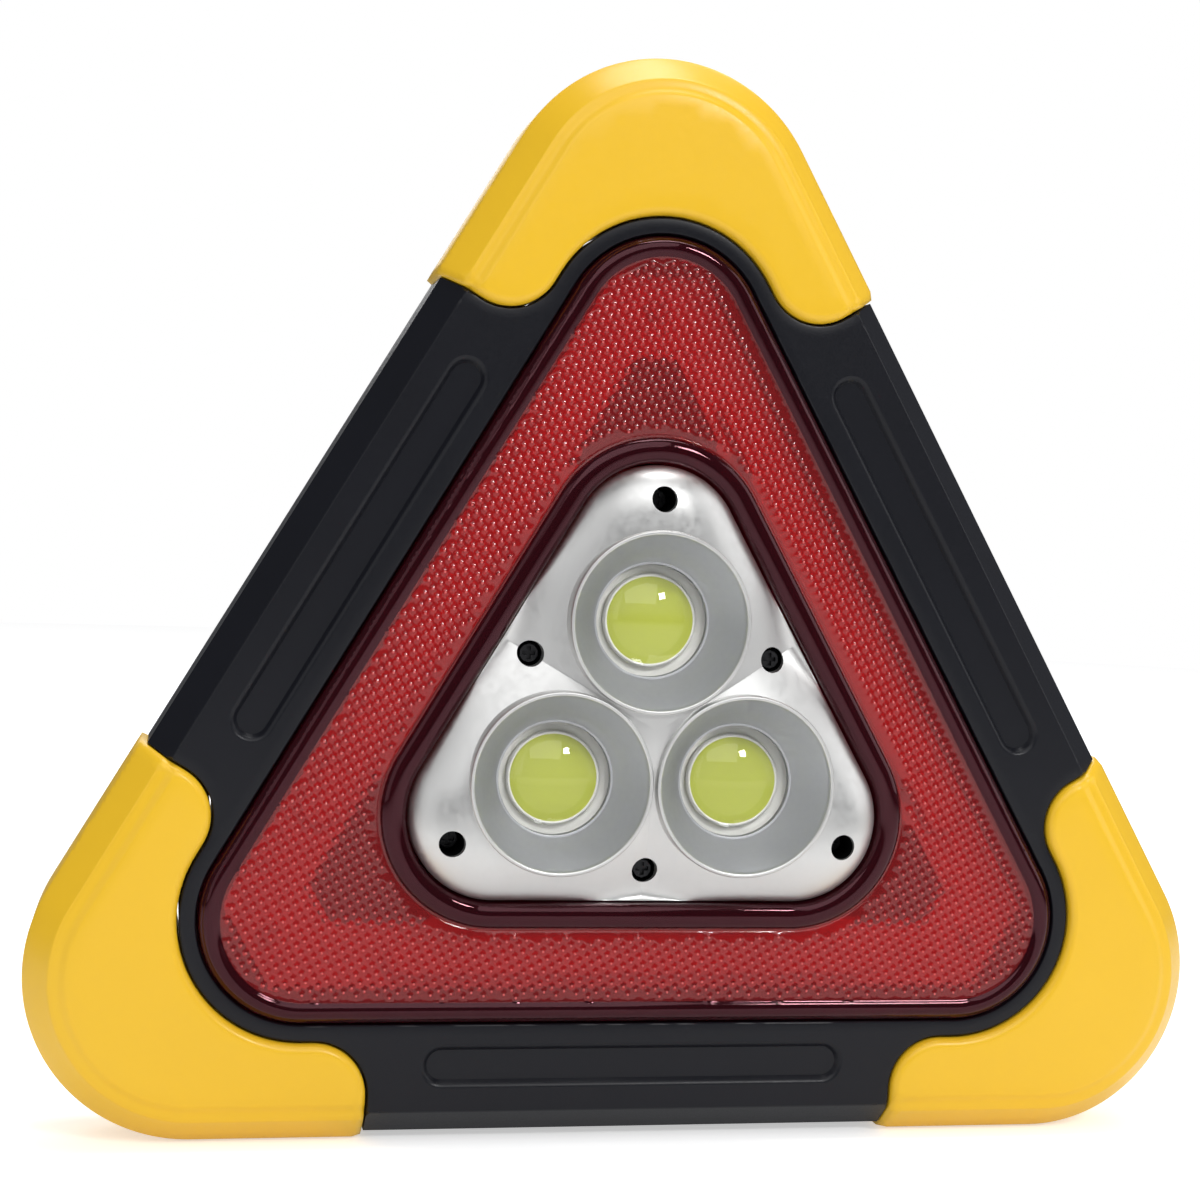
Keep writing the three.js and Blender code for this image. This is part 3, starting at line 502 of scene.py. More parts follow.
# Red plastic: the flat between studs; rims and bead, darker, partly painted shade; stud tops, a painted
# glint.
RED_LENS = see_through("red_lens_plastic", (0.56, 0.026, 0.03), (0.82, 0.17, 0.18), 0.1, 0.78)
# The rims and the bead: a much darker copy of the red plastic, partly the deeper red of thick plastic
# and partly painted shade.
RED_LENS_SHADED_EDGE = see_through(
    "red_lens_edge_painted_shade", (0.07, 0.003, 0.009), (0.6, 0.1, 0.12), 0.04, 0.75, (1, 0.5, 0.58)
)
# The tops of the studs: a lighter, less clear red, a painted glint in place of the lamps' highlight on
# each stud.
RED_LENS_PAINTED_GLINT = see_through("red_lens_stud_painted_glint", (0.68, 0.115, 0.11), (0.82, 0.17, 0.18), 0.3, 0.2)
SILVER = moulded("silvered_plastic", (0.68, 0.68, 0.67), 0.39, 0.01, 900, 0, metallic=0.92)
SILVER_CUP = moulded("silvered_cup", (0.55, 0.56, 0.58), 0.46, 0.01, 900, 0, metallic=0.9)
BLACK_PLASTIC = moulded(
    "black_plastic", (0.0055, 0.006, 0.0095), 0.34, 0.12, 3200, 7e-6, specular=0.28
)
YELLOW_PLASTIC = moulded("yellow_plastic", (0.88, 0.53, 0.02), 0.33, 0.02, 1800, 3e-6, specular=0.45)
CLEAR = see_through("clear_plastic", (0.97, 0.98, 0.96), (0.98, 0.98, 0.97), 0.01)
PHOSPHOR = moulded("phosphor", (0.45, 0.49, 0.05), 0.5, 0.08, 4200, 6e-6)
WHITE_BOARD = moulded("white_board", (0.86, 0.85, 0.83), 0.45, 0.03)
WHITE_NYLON = moulded("white_nylon", (0.8, 0.78, 0.74), 0.5, 0.03)
GREEN_BOARD = moulded("green_board", (0.01, 0.16, 0.06), 0.35, 0.15)
RED_SILICONE = moulded("red_silicone", (0.86, 0.16, 0.1), 0.35, 0.06)
FOAM = moulded("gasket_foam", (0.02, 0.02, 0.022), 0.9, 0.3, 1800, 4e-5)
RUBBER = moulded("black_rubber", (0.012, 0.012, 0.013), 0.62, 0.2, 2600, 8e-6, specular=0.3)
BRIGHT_STEEL = moulded("bright_steel", (0.62, 0.62, 0.63), 0.28, 0.05, 1500, 2e-6, metallic=1.0)
BLACK_STEEL = moulded("black_steel", (0.02, 0.02, 0.022), 0.4, 0.2, 1800, 3e-6, metallic=0.6)
CELL_JACKET = moulded("cell_jacket", (0.02, 0.07, 0.16), 0.3, 0.08, 600, 2e-6, coat=0.5)
CELL_BAND = moulded("cell_band", (0.72, 0.42, 0.12), 0.25, 0.05, 900, 1e-6, metallic=0.8)
RED_WIRE = moulded("red_wire", (0.5, 0.01, 0.01), 0.45, 0.1)
BLACK_WIRE = moulded("black_wire", (0.01, 0.01, 0.012), 0.45, 0.2)
# The screw wells' bores: near black with little gloss, painted shade inside the deep wells.
BORE_PAINTED_SHADE = moulded("bore_painted_shade", (0.003, 0.003, 0.003), 0.8, 0.2, 2000, 4e-6, specular=0.1)


# Bumpers

BUMPER_CHAMFER = 4.3
BUMPER_LIP = 1.5
BAND_START = 3.6
BAND_WIDTH = 2.6
BAND_RISE = 0.35
PANEL_START = 5.7
PANEL_END = 7.3
PANEL_RISE = 0.75
BACK_CHAMFER = 3.0


def bumper_inner_edge(clearance, outer_inradius):
    """The top bumper's inner edge, from the end of its right arm round to the end of its left arm."""
    end = ARM_END - clearance
    inner = ARM_INRADIUS - clearance
    radius = ARM_CORNER_RADIUS + clearance
    outward, along = polar(1, 30), polar(1, 120)
    centre = outward * (inner + radius) + along * (end + radius)
    outer = outward * outer_inradius + along * end
    start = outward * (inner + radius) + along * end
    straight = [outer + (start - outer) * i / 6 for i in range(6)]
    right = np.vstack((straight, arc(centre, radius, -60, -150, 18)))
    flip = np.array((-1, 1))
    crown = arc((0, 2 * LENS_CORE), inner - LENS_CORE, 30, 150, 36)
    return np.vstack((right, crown, right[::-1] * flip))


def bumper_outline():
    edge = bumper_inner_edge(0, BUMPER_INRADIUS)
    crown = arc((0, 2 * BODY_CORE), BUMPER_INRADIUS - BODY_CORE, 150, 30, 48)
    return divided(np.vstack((edge, crown)), 1.5), edge


def body_depth(points, inradius):
    """How far inside the body's outline each point is."""
    return inradius - gauge(points, BODY_CORE)


def back_chamfer(depth, back):
    """The level of a back that is cut off at 45 degrees along the body's outline."""
    return back + np.clip(BACK_CHAMFER - depth, 0, BACK_CHAMFER)


def bumper():
    """A corner cap with a soft chamfer, a narrow band along it and a raised panel inside that."""
    outline, edge = bumper_outline()

    def front(points):
        depth = body_depth(points, BUMPER_INRADIUS)
        chamfer = CHAMFER_FOOT + CHAMFER_RISE * np.clip(depth / BUMPER_CHAMFER, 0, 1) ** 0.92
        band = BAND_RISE * np.clip((depth - BAND_START) / BAND_WIDTH, 0, 1)
        panel = PANEL_RISE * step_between(depth, PANEL_START, PANEL_END)
        return chamfer + band + panel - rounded_drop(distance_to(points, [edge]), BUMPER_LIP)

    def back(points):
        chamfer = back_chamfer(body_depth(points, BUMPER_INRADIUS), BUMPER_BACK)
        return chamfer + rounded_drop(distance_to(points, [edge]), 1.0)

    levels = (0.5, 1.2, 2.2, 2.9, 3.1, 3.5, 3.9, 4.2, 4.4, 5.2, 5.7, 6.1, 6.5, 6.9, 7.3)
    lines = [rounded_triangle(BODY_CORE, BUMPER_INRADIUS - d, 1.5, 48) for d in levels]
    return Shape().slab([outline], front, back, 2.6, round_insets(BUMPER_LIP), lines)


for index, corner in enumerate(CORNER_NAMES):
    node = f"corner_bumper_{corner}"
    bumper().turned(120 * index).piece(node, [YELLOW_PLASTIC], "yellow_plastic", "case", 40)


# Front bezel

BEZEL_CHAMFER = 4.4
BEZEL_INSIDE = 10.4
BEZEL_SOFT = 0.4
SLOT_REACH = 32.5
SLOT_DISTANCE = 56.4
SLOT_LIP = 3.6
SLOT_WALL = 3.1
SLOT_FLOOR = 2.45
SLOT_LIP_DEPTH = 0.24
SLOT_DEPTH = 1.0


def seated_outline(inradius):
    """The outline of the case where it isn't covered by the bumpers."""
    edge = bumper_inner_edge(GAP, inradius)
    return divided(np.vstack([turned(edge, 120 * i) for i in range(3)]), 1.5)


def in_wall(points, outline):
    """Which points are in the side walls of the case."""
    away = np.minimum(distance_to(points, [closed(outline)]), body_depth(points, BODY_INRADIUS))
    return away < CASE_WALL


def slot_drop(points, degrees):
    """How deep the slot along one bar is at each point: a shallow lip, then a steep wall."""
    local = turned(points, -(degrees + 90))
    along = np.clip(local[:, 0], -SLOT_REACH, SLOT_REACH)
    away = np.hypot(local[:, 0] - along, local[:, 1] + SLOT_DISTANCE)
    lip = np.clip((SLOT_LIP - away) / (SLOT_LIP - SLOT_WALL), 0, 1)
    wall = np.clip((SLOT_WALL - away) / (SLOT_WALL - SLOT_FLOOR), 0, 1)
    return SLOT_LIP_DEPTH * lip + (SLOT_DEPTH - SLOT_LIP_DEPTH) * wall


def bezel():
    outline = seated_outline(BODY_INRADIUS)
    opening = rounded_triangle(LENS_CORE, LENS_INRADIUS + GAP, 1.5, 32)

    def front(points):
        depth = body_depth(points, BODY_INRADIUS)
        chamfer = CHAMFER_FOOT + CHAMFER_RISE * np.clip(depth / BEZEL_CHAMFER, 0, 1)
        slots = sum(slot_drop(points, d) for d in SIDES)
        edges = soft_edge(points, [outline, opening], BEZEL_SOFT)
        return chamfer - slots - np.where(depth > BEZEL_CHAMFER, edges, 0)

    def back(points):
        return np.where(in_wall(points, outline), SPLIT, BEZEL_INSIDE)

    levels = (0.6, 1.5, 1.9, 2.1, 3.0, 4.1, 4.3, 4.5, 4.8)
    lines = [rounded_triangle(BODY_CORE, BODY_INRADIUS - d, 1.5, 32) for d in levels]
    for degrees in SIDES:
        for half_width in (2.25, SLOT_FLOOR, 2.6, 2.85, SLOT_WALL, 3.35, SLOT_LIP, 3.75, 4.0):
            ring = pill(SLOT_REACH, -SLOT_DISTANCE, half_width, 16, 1.2)
            lines.append(turned(ring, degrees + 90))
    insets = [*round_insets(BEZEL_SOFT, 3), CASE_WALL - 0.05, CASE_WALL + 0.05]
    return Shape().slab([outline, opening], front, back, 2.6, insets, lines)


bezel().piece("front_bezel", [BLACK_PLASTIC], "black_plastic", "case", 30)


# Red lens

GRID_PITCH = 1.5
GRID_TURN = 30.0
FACE_LEVEL = 14.0
STUD_HEIGHT = 0.3
STUD_RADIUS = 0.6
# How far the painted glint on a stud's top reaches from its middle.
STUD_GLINT_RADIUS = 0.21
RIM_WIDTH = 3.5
RIM_RIDGE_WIDTH = 2.8
RIM_HEIGHT = 0.55
SHOULDER = 1.3
BEAD_MIDDLE = 31.35
BEAD_HALF_WIDTH = 2.1
BEAD_HEIGHT = 1.35
MOAT_DEPTH = 0.22
MOAT_PLACE = 0.35
MOAT_WIDTH = 0.28
OUTER_SKIRT = 2.2
INNER_SKIRT = 2.4
SKIRT_FOOT = 8.0
LENS_THICKNESS = 2.0


def studs(points):
    """The height of the moulded studs, 0 to 1: small domes on a square grid, turned from the bars."""
    local = turned(points, -GRID_TURN) / GRID_PITCH
    away = np.linalg.norm(local - np.round(local), axis=1) * GRID_PITCH
    return np.clip(1 - (away / STUD_RADIUS) ** 2, 0, 1)


def stud_middles(reach):
    """The studs' places, as far as that along the grid's own directions."""
    count = round(reach / GRID_PITCH)
    steps = np.arange(-count, count + 1) * GRID_PITCH
    return turned(np.array([(x, y) for x in steps for y in steps]), GRID_TURN)


def stud_points(middles):
    """Each stud's top and two rings round it; the inner ring bounds the stud's painted glint."""
    rings = [circle((0, 0), STUD_GLINT_RADIUS, 6), circle((0, 0), STUD_RADIUS, 8)]
    pattern = np.vstack([((0, 0),), *rings])
    return (middles[:, None, :] + pattern[None]).reshape(-1, 2)


def lens_gauges(points):
    """The inradii of the outer and the inner rounded triangle through each point."""
    return gauge(points, LENS_CORE), gauge(points, REFLECTOR_CORE)


def red_lens():
    """The red ring: a raised outer rim, a field of studs and a round bead about the reflector."""
    outline = rounded_triangle(LENS_CORE, LENS_INRADIUS, 1.2, 40)
    opening = rounded_triangle(REFLECTOR_CORE, REFLECTOR_INRADIUS + GAP, 1.0, 40)
    rim_foot = LENS_INRADIUS - RIM_WIDTH
    bead_foot = BEAD_MIDDLE + BEAD_HALF_WIDTH
    stud_limit, stud_start = rim_foot - 0.1, bead_foot + 0.8

    def front(points):
        outer, inner = lens_gauges(points)
        flat = FACE_LEVEL + STUD_HEIGHT * studs(points) * (outer < stud_limit) * (inner > stud_start)
        moat = MOAT_DEPTH * np.exp(-(((inner - bead_foot - MOAT_PLACE) / MOAT_WIDTH) ** 2))
        ridge = np.clip((outer - rim_foot) / RIM_RIDGE_WIDTH, 0, 1)
        rim = RIM_HEIGHT * np.sin(np.pi * ridge) ** 0.7
        shoulder = rounded_drop(LENS_INRADIUS - outer, SHOULDER)
        across = (inner - BEAD_MIDDLE) / BEAD_HALF_WIDTH
        bead = BEAD_HEIGHT * np.sqrt(np.clip(1 - across**2, 0, 1))
        return flat + rim - shoulder + bead - moat

    def back(points):
        outer, inner = lens_gauges(points)
        skirt = outer > LENS_INRADIUS - OUTER_SKIRT
        skirt |= inner < REFLECTOR_INRADIUS + INNER_SKIRT
        return np.where(skirt, SKIRT_FOOT, FACE_LEVEL - LENS_THICKNESS)

    rim_levels = [rim_foot + RIM_WIDTH * i / 12 for i in range(12)]
    rim_levels += [LENS_INRADIUS - OUTER_SKIRT + away for away in (-0.05, 0.05)]
    slants = np.sin(np.radians(range(-80, 91, 10)))
    bead_levels = [BEAD_MIDDLE + BEAD_HALF_WIDTH * slant for slant in slants]
    bead_levels += [REFLECTOR_INRADIUS + INNER_SKIRT + away for away in (-0.05, 0.05)]
    bead_levels += [bead_foot + away for away in (0.12, 0.25, 0.38, 0.52, 0.68)]
    lines = [rounded_triangle(LENS_CORE, r, 1.0, 40) for r in rim_levels]
    lines += [rounded_triangle(REFLECTOR_CORE, r, 1.0, 40) for r in bead_levels]
    middles = stud_middles(2 * LENS_INRADIUS)
    outer, inner = lens_gauges(middles)
    middles = middles[(outer < stud_limit - STUD_RADIUS) & (inner > stud_start + STUD_RADIUS)]
    lines.append(stud_points(middles))
    shape = Shape().slab([outline, opening], front, back, 2.0, round_insets(SHOULDER)[:4], lines)
    corners = [np.array([shape.points[v] for v in face]) for face in shape.faces]
    outer, inner = lens_gauges(np.array([c[:, :2].mean(0) for c in corners]))
    # Faces on the rims and the bead take the darker red, partly painted shade.
    edge = (outer > rim_foot) | (inner < bead_foot)
    # Faces on the tops of the studs take the painted glint.
    top = np.array([c[:, 2].min() for c in corners]) > FACE_LEVEL + STUD_HEIGHT * 0.7
    shape.looks = [1 if e else 2 if t else 0 for e, t in zip(edge, top)]
    return shape


LENS_LOOKS = [RED_LENS, RED_LENS_SHADED_EDGE, RED_LENS_PAINTED_GLINT]
red_lens().piece("red_lens", LENS_LOOKS, "red_lens_plastic", "case", 50)


# Reflector

LAMPS = [polar(LAMP_DISTANCE, d) for d in CORNERS]
WELLS = [polar(CORNER_HOLE_DISTANCE, d) for d in CORNERS]
WELLS += [polar(SIDE_HOLE_DISTANCE, d) for d in SIDES]
LAMP_RIM_RADIUS = 15.1
LAMP_STEPS = 120
WELL_RADIUS = 2.15
WELL_BORE_RADIUS = 2.1
WELL_FLOOR = 10.6
PLATE_EDGE = 13.3
PLATE_FOOT = 9.0
PLATE_CROWN = 18.9
PLATE_BOW = 0.0125
PLATE_ROLL = 9.5
BOWL_TOP = (14.34, 19.5)  # radius and height
BOWL_FOOT = (9.9, 12.4)


def plate_height(points):
    """Each third of the plate is a shallow barrel along its corner's direction, and the plate's
    edge is rolled over."""
    nearest = np.argmax([points @ polar(1, d) for d in CORNERS], axis=0)
    across = np.zeros(len(points))
    for i, d in enumerate(CORNERS):
        across = np.where(nearest == i, np.abs(points @ polar(1, d + 90)), across)
    crown = PLATE_CROWN - PLATE_BOW * across**2
    inward = np.clip((REFLECTOR_INRADIUS - gauge(points, REFLECTOR_CORE)) / PLATE_ROLL, 0, 1)
    return PLATE_EDGE + (crown - PLATE_EDGE) * np.sqrt(np.maximum(1 - (1 - inward) ** 2.2, 0))


def bowl(steps=16):
    """A lamp cup's profile, a parabola from its top to its foot."""
    (wide, high), (narrow, low) = BOWL_TOP, BOWL_FOOT
    radii = [wide + (narrow - wide) * i / steps for i in range(steps + 1)]
    scale = (high - low) / (wide**2 - narrow**2)
    return [(r, low + scale * (r**2 - narrow**2)) for r in radii]


def reflector():
    """The silvered plate, its three lamp cups and its six screw wells."""
    outline = rounded_triangle(REFLECTOR_CORE, REFLECTOR_INRADIUS, 0.9, 40)
    lamps = [circle(c, LAMP_RIM_RADIUS, LAMP_STEPS) for c in LAMPS]
    wells = [circle(c, WELL_RADIUS, 36) for c in WELLS]
    insets = PLATE_ROLL * (1 - np.cos(np.radians(range(9, 90, 7))))
    lines = [rounded_triangle(REFLECTOR_CORE, REFLECTOR_INRADIUS - d, 0.9, 40) for d in insets]
    along = np.arange(0.5, REFLECTOR_INRADIUS - 0.5, 0.5)
    for d in SIDES:
        for shift in (-0.12, 0, 0.12):
            lines.append(along[:, None] * polar(1, d) + polar(shift, d + 90))
    flat, faces = region([outline, *lamps, *wells], 0.8, (), lines)
    shape = Shape()
    shape.add(np.column_stack((flat, plate_height(flat))), faces)
    edges = border_edges(faces)

    def carried_on(chosen, rings):
        """Joins an edge of the plate to rings, which are made from the edge's own points."""
        around = sorted({i for e in chosen for i in e})
        place = {v: k for k, v in enumerate(around)}
        feet = flat[around]
        rows = [np.column_stack((feet, plate_height(feet))), *rings(feet)]
        count = len(around)
        joins = []
        for low in range(0, count * (len(rows) - 1), count):
            high = low + count
            for a, b in chosen:
                joins.append((place[b] + low, place[a] + low, place[a] + high, place[b] + high))
        shape.add(np.vstack(rows), joins)

    def near(away, reach):
        """The border edges whose two ends are less than that away."""
        return [(a, b) for a, b in edges if away[a] < reach and away[b] < reach]

    def into_hole(centre, radius, profile):
        """Carries a round hole's edge on through rings of (radius, height)."""

        def rings(feet):
            outward = feet - centre
            outward /= np.linalg.norm(outward, axis=1)[:, None]
            return [np.column_stack((centre + outward * r, level(z)(feet))) for r, z in profile]

        chosen = near(np.abs(np.linalg.norm(flat - centre, axis=1) - radius), 0.05)
        carried_on(chosen, rings)

    rim = [(15.1, 19.5), (15.06, 19.75), (14.95, 19.92), (14.8, 20)]
    rim += [(14.62, 20), (14.47, 19.92), (14.38, 19.75)]
    neck = [(9.82, 12.28), (9.7, 12.2), (9.55, 12.2), (9.44, 12.14), (9.4, 12.0), (9.4, 10.0)]
    for lamp in LAMPS:
        into_hole(lamp, LAMP_RIM_RADIUS, rim)
        shape.lathe([*rim[-1:], *bowl(), *neck], (*lamp, 0), steps=LAMP_STEPS, look=2)
    for well in WELLS:
        mouth = float(plate_height(well[None])[0])
        into_hole(well, WELL_RADIUS, [(WELL_BORE_RADIUS, mouth - 1.4)])
        bore = [(WELL_BORE_RADIUS, mouth - 1.3), (WELL_BORE_RADIUS, WELL_FLOOR), (0, WELL_FLOOR)]
        # The bore and its floor take the near-black look, painted shade in the well.
        shape.lathe(bore, (*well, 0), steps=36, look=1)
    outer = near(np.abs(gauge(flat, REFLECTOR_CORE) - REFLECTOR_INRADIUS), 0.02)
    carried_on(outer, lambda feet: [np.column_stack((feet, level(PLATE_FOOT)(feet)))])
    return shape


PLATE_LOOKS = [SILVER, BORE_PAINTED_SHADE, SILVER_CUP]
reflector().piece("reflector", PLATE_LOOKS, "silvered_plastic", "case", 25)


# Lamp lenses and LED chips

LAMP_LENS_RADIUS = 9.3
LAMP_LENS_EDGE = 1.2
CHIP_RADIUS = 7.0
DAM_INNER_RADIUS = 6.62


def lamp_lens(lamp, seat, top):
    """A clear dome with a short straight edge."""
    radius = LAMP_LENS_RADIUS
    rise = top - seat - LAMP_LENS_EDGE
    ball = (radius**2 + rise**2) / (2 * rise)
    reaches = [radius * (1 - i / 16) for i in range(17)]
    dome = [(r, top - ball + math.sqrt(ball**2 - r**2)) for r in reaches]
    profile = [(0, seat), (radius - 0.15, seat), (radius, seat + 0.15), *dome]
    return Shape().lathe(profile, (*lamp, 0), steps=72)


def led_chip(lamp, back, front):
    """A disc of phosphor with a white dam round it."""
    profile = [(0, back), (CHIP_RADIUS, back), (CHIP_RADIUS, front - 0.1), (6.9, front)]
    profile += [(6.7, front), (6.6, front - 0.1), (3, front + 0.06), (0, front + 0.08)]
    shape = Shape().lathe(profile, (*lamp, 0), steps=64)
    for i, face in enumerate(shape.faces):
        middle = np.mean([shape.points[v] for v in face], axis=0)
        if np.linalg.norm(middle[:2] - lamp) > DAM_INNER_RADIUS:
            shape.looks[i] = 1
    return shape


for lamp, corner in zip(LAMPS, CORNER_NAMES):
    node = f"lamp_lens_{corner}"
    lamp_lens(lamp, *depths(node)).piece(node, [CLEAR], "clear_plastic", "case", 40)
    node = f"led_chip_{corner}"
    looks = [PHOSPHOR, WHITE_BOARD]
    led_chip(lamp, *depths(node)).piece(node, looks, "phosphor", "case", 40)


# Rear housing

CASE_SCREWS = [
    turned(np.array((along, -CASE_SCREW_DISTANCE)), 120 * i)
    for i in range(3)
    for along in (-CASE_SCREW_SPREAD, CASE_SCREW_SPREAD)
]
RING_SCREWS = [polar(70, d) for d in CORNERS]
CONTROL_SCREWS = [np.array((x, BUTTON_HEIGHT)) for x in (-13, 13)]
SCREW_POSTS = ((WELLS, 7.1), (RING_SCREWS, 5.3), (CONTROL_SCREWS, 1.1))  # places and fronts
BUTTON_PLACE = np.array((0, BUTTON_HEIGHT))
INNER_BACK = -4.6
BAY_FLOOR = -2.8
BAY_FRONT = -1.3
BAY_WALL_BACK = -12.0
LUG_INNER = 25.0
PIVOT_EYE_RADIUS = 5.5
BUTTON_HOLE_RADIUS = 6.9
COUNTERBORE_RADIUS = 3.3
COLLAR_RISE = 0.8
COLLAR_REACH = (1.3, 2.2)
CASE_POST_RADIUS = 4.0
NOTCH_HALF_WIDTH = 6.5
NOTCH_REACH = 2.2
NOTCH_DEPTH = 1.4
NOTCH_SHARES = (0.55, 0.65, 0.75, 0.85, 0.95, 1.0)


def bay_outline(margin, radius=1.0):
    return rounded_rectangle(
        -BAY_HALF_WIDTH - margin, BAY_HALF_WIDTH + margin, BAY_BOTTOM - margin, BAY_TOP + margin, radius
    )


def tub():
    """The case's back wall and sides, open at the front."""
    outline = seated_outline(BODY_INRADIUS)
    button_hole = circle(BUTTON_PLACE, BUTTON_HOLE_RADIUS, 64)
    bay = bay_outline(0)
    screws = [circle(at, COUNTERBORE_RADIUS, 32) for at in CASE_SCREWS]

    def front(points):
        return np.where(in_wall(points, outline), SPLIT - GAP, INNER_BACK)

    def back(points):
        chamfer = back_chamfer(body_depth(points, BODY_INRADIUS), CASE_BACK)
        rim = np.linalg.norm(points - BUTTON_PLACE, axis=1) - BUTTON_HOLE_RADIUS
        collar = COLLAR_RISE * (rounded_drop(rim, 0.5) - 1 + step_between(rim, *COLLAR_REACH))
        return chamfer + collar + soft_edge(points, screws, 0.4)

    levels = (0.6, 1.5, 1.95, 2.05, 2.4, 2.8, 3.0, 3.2, 3.8)
    rims = (0.1, 0.25, 0.5, 1.3, 1.6, 1.9, 2.2)
    lines = [rounded_triangle(BODY_CORE, BODY_INRADIUS - d, 1.5, 32) for d in levels]
    lines += [circle(BUTTON_PLACE, BUTTON_HOLE_RADIUS + d, 64) for d in rims]
    lines += [circle(at, COUNTERBORE_RADIUS + d, 32) for at in CASE_SCREWS for d in (0.05, 0.15, 0.4)]
    insets = [CASE_WALL - 0.05, CASE_WALL + 0.05]
    return Shape().slab([outline, bay, button_hole, *screws], front, back, 3.0, insets, lines)


def bay_box():
    """The battery bay's walls and floor, inside the case."""
    mouth = bay_outline(0.02)

    def back(points):
        return np.where(inside(points, [mouth]), BAY_FLOOR, BAY_WALL_BACK)

    lines = [bay_outline(-0.1), bay_outline(0.15), closed(mouth)]
    return Shape().slab([bay_outline(1.8, 1.5)], level(BAY_FRONT), back, 4.0, (), lines)


def notch_scoop(points):
    """How deep the thumb notch is, half of it in the pod and half in the cover."""
    away = np.hypot(points[:, 0] / NOTCH_HALF_WIDTH, (points[:, 1] - BAY_TOP) / NOTCH_REACH)
    return NOTCH_DEPTH * (1 - step_between(away, NOTCH_SHARES[0], 1))


def notch_lines(start, end):
    angles = np.radians(np.linspace(start, end, 40))
    edge = np.column_stack((NOTCH_HALF_WIDTH * np.cos(angles), NOTCH_REACH * np.sin(angles)))
    return [edge * share + np.array((0, BAY_TOP)) for share in NOTCH_SHARES]


def pod():
    """The frame that stands out from the back round the battery bay."""
    outer = rounded_rectangle(-POD_HALF_WIDTH, POD_HALF_WIDTH, POD_BOTTOM, POD_TOP, 5, 1.5, 12)
    bay = bay_outline(0)
    soft = 1.6

    def back(points):
        edges = soft_edge(points, [outer], soft) + soft_edge(points, [bay], 0.35)
        return POD_BACK + edges + notch_scoop(points)

    insets = [*round_insets(soft), 0.07, 0.2, 0.35]
    lines = notch_lines(0, 180)
    return Shape().slab([outer, bay], level(INNER_BACK - 1), back, 1.6, insets, lines)


def round_block(outline, left, right, soft, holes=()):
    """A body along X whose profile is drawn as (height, depth), with its two ends rounded."""
    loops = [outline, *holes]

    def front(points):
        return right - soft_edge(points, [outline], soft)

    def back(points):
        return left + soft_edge(points, [outline], soft)

    made = Shape().slab(loops, front, back, 2.0, round_insets(soft, 4))
    made.points = [(along, height, depth) for height, depth, along in made.points]
    return made


def lug_profile(foot_depth):
    """A hinge lug from the side: round about the pivot, then straight down to a flared foot."""
    radius, flare = PIVOT_EYE_RADIUS, 1.6
    bow = arc((PIVOT_HEIGHT, PIVOT_DEPTH), radius, 180, 360, 32)
    steps = ((radius, 5), (radius + 0.4 * flare, 2), (radius + flare, 0))
    upper = [(PIVOT_HEIGHT + reach, foot_depth - out) for reach, out in steps]
    lower = [(PIVOT_HEIGHT - reach, foot_depth - out) for reach, out in steps[::-1]]
    return divided(np.vstack((bow, upper, lower)), 1.0)


def post(at, front):
    """A post for a screw, on the back wall."""
    back, radius, soft = INNER_BACK - 0.5, POST_RADIUS, 0.3
    profile = [(0, back), (radius, back), (radius, front - soft), (radius - soft, front), (0, front)]
    return Shape().lathe(profile, (*at, 0), steps=20)


def rear_housing():
    shape = tub().join(bay_box()).join(pod())
    bore = circle((PIVOT_HEIGHT, PIVOT_DEPTH), 2.6, 32)
    lug = round_block(lug_profile(INNER_BACK - 1), LUG_INNER, POD_HALF_WIDTH, 0.8, [bore])
    shape.join(lug).join(lug.mirrored())
    for places, front in SCREW_POSTS:
        for at in places:
            shape.join(post(at, front))
    tube = [(1.8, CASE_BACK + 2), (3.6, CASE_BACK + 2), (CASE_POST_RADIUS, INNER_BACK)]
    tube += [(CASE_POST_RADIUS, SPLIT - GAP), (1.8, SPLIT - GAP)]
    for at in CASE_SCREWS:
        shape.lathe(tube, (*at, 0), steps=24, ring=True)
    return shape


rear_housing().piece("rear_housing", [BLACK_PLASTIC], "black_plastic", "case", 32)


# Battery cover, stand, button and fasteners

COVER_THICKNESS = 1.8
RIDGE_LEVELS = [3 + 2.4 * i for i in range(5)]
RIDGE_REACH = 14.0
RIDGE_RADIUS = 0.7
RIDGE_DEPTH = 0.45


def battery_cover():
    """A flat lid with five thumb grooves, two hinge tabs at its foot and a latch at its top."""
    outline = bay_outline(-GAP, 1.0)
    soft = 0.5

    def back(points):
        made = POD_BACK + soft_edge(points, [outline], soft)
        along = np.maximum(np.abs(points[:, 0]) - RIDGE_REACH, 0)
        for height in RIDGE_LEVELS:
            away = np.hypot(along, points[:, 1] - height) / RIDGE_RADIUS
            made = made + RIDGE_DEPTH * np.sqrt(np.clip(1 - away**2, 0, 1))
        return made + notch_scoop(points) * (points[:, 1] < BAY_TOP)

    lines = [
        pill(RIDGE_REACH, height, reach, 8, 0.8)
        for height in RIDGE_LEVELS
        for reach in (0.02, 0.35, 0.6, RIDGE_RADIUS, 0.8)
    ]
    lines += notch_lines(180, 360)
    inside_level = level(POD_BACK + COVER_THICKNESS)
    shape = Shape().slab([outline], inside_level, back, 2.4, round_insets(soft, 4), lines)
    for x in (-15, 15):
        tab = rounded_rectangle(x - 3, x + 3, -27.3, BAY_BOTTOM + 1.5, 0.6)
        shape.slab([tab], level(-17.9), level(-18.9), 1.5)
    latch = rounded_rectangle(-4.5, 4.5, BAY_TOP - 1.6, BAY_TOP - GAP, 0.3)
    shape.slab([latch], level(-14.5), level(-18.5), 1.5)
    nib = rounded_rectangle(-4.5, 4.5, BAY_TOP - 0.6, BAY_TOP + 0.9, 0.3)
    shape.slab([nib], level(-16.9), level(-17.9), 1.5)
    return shape


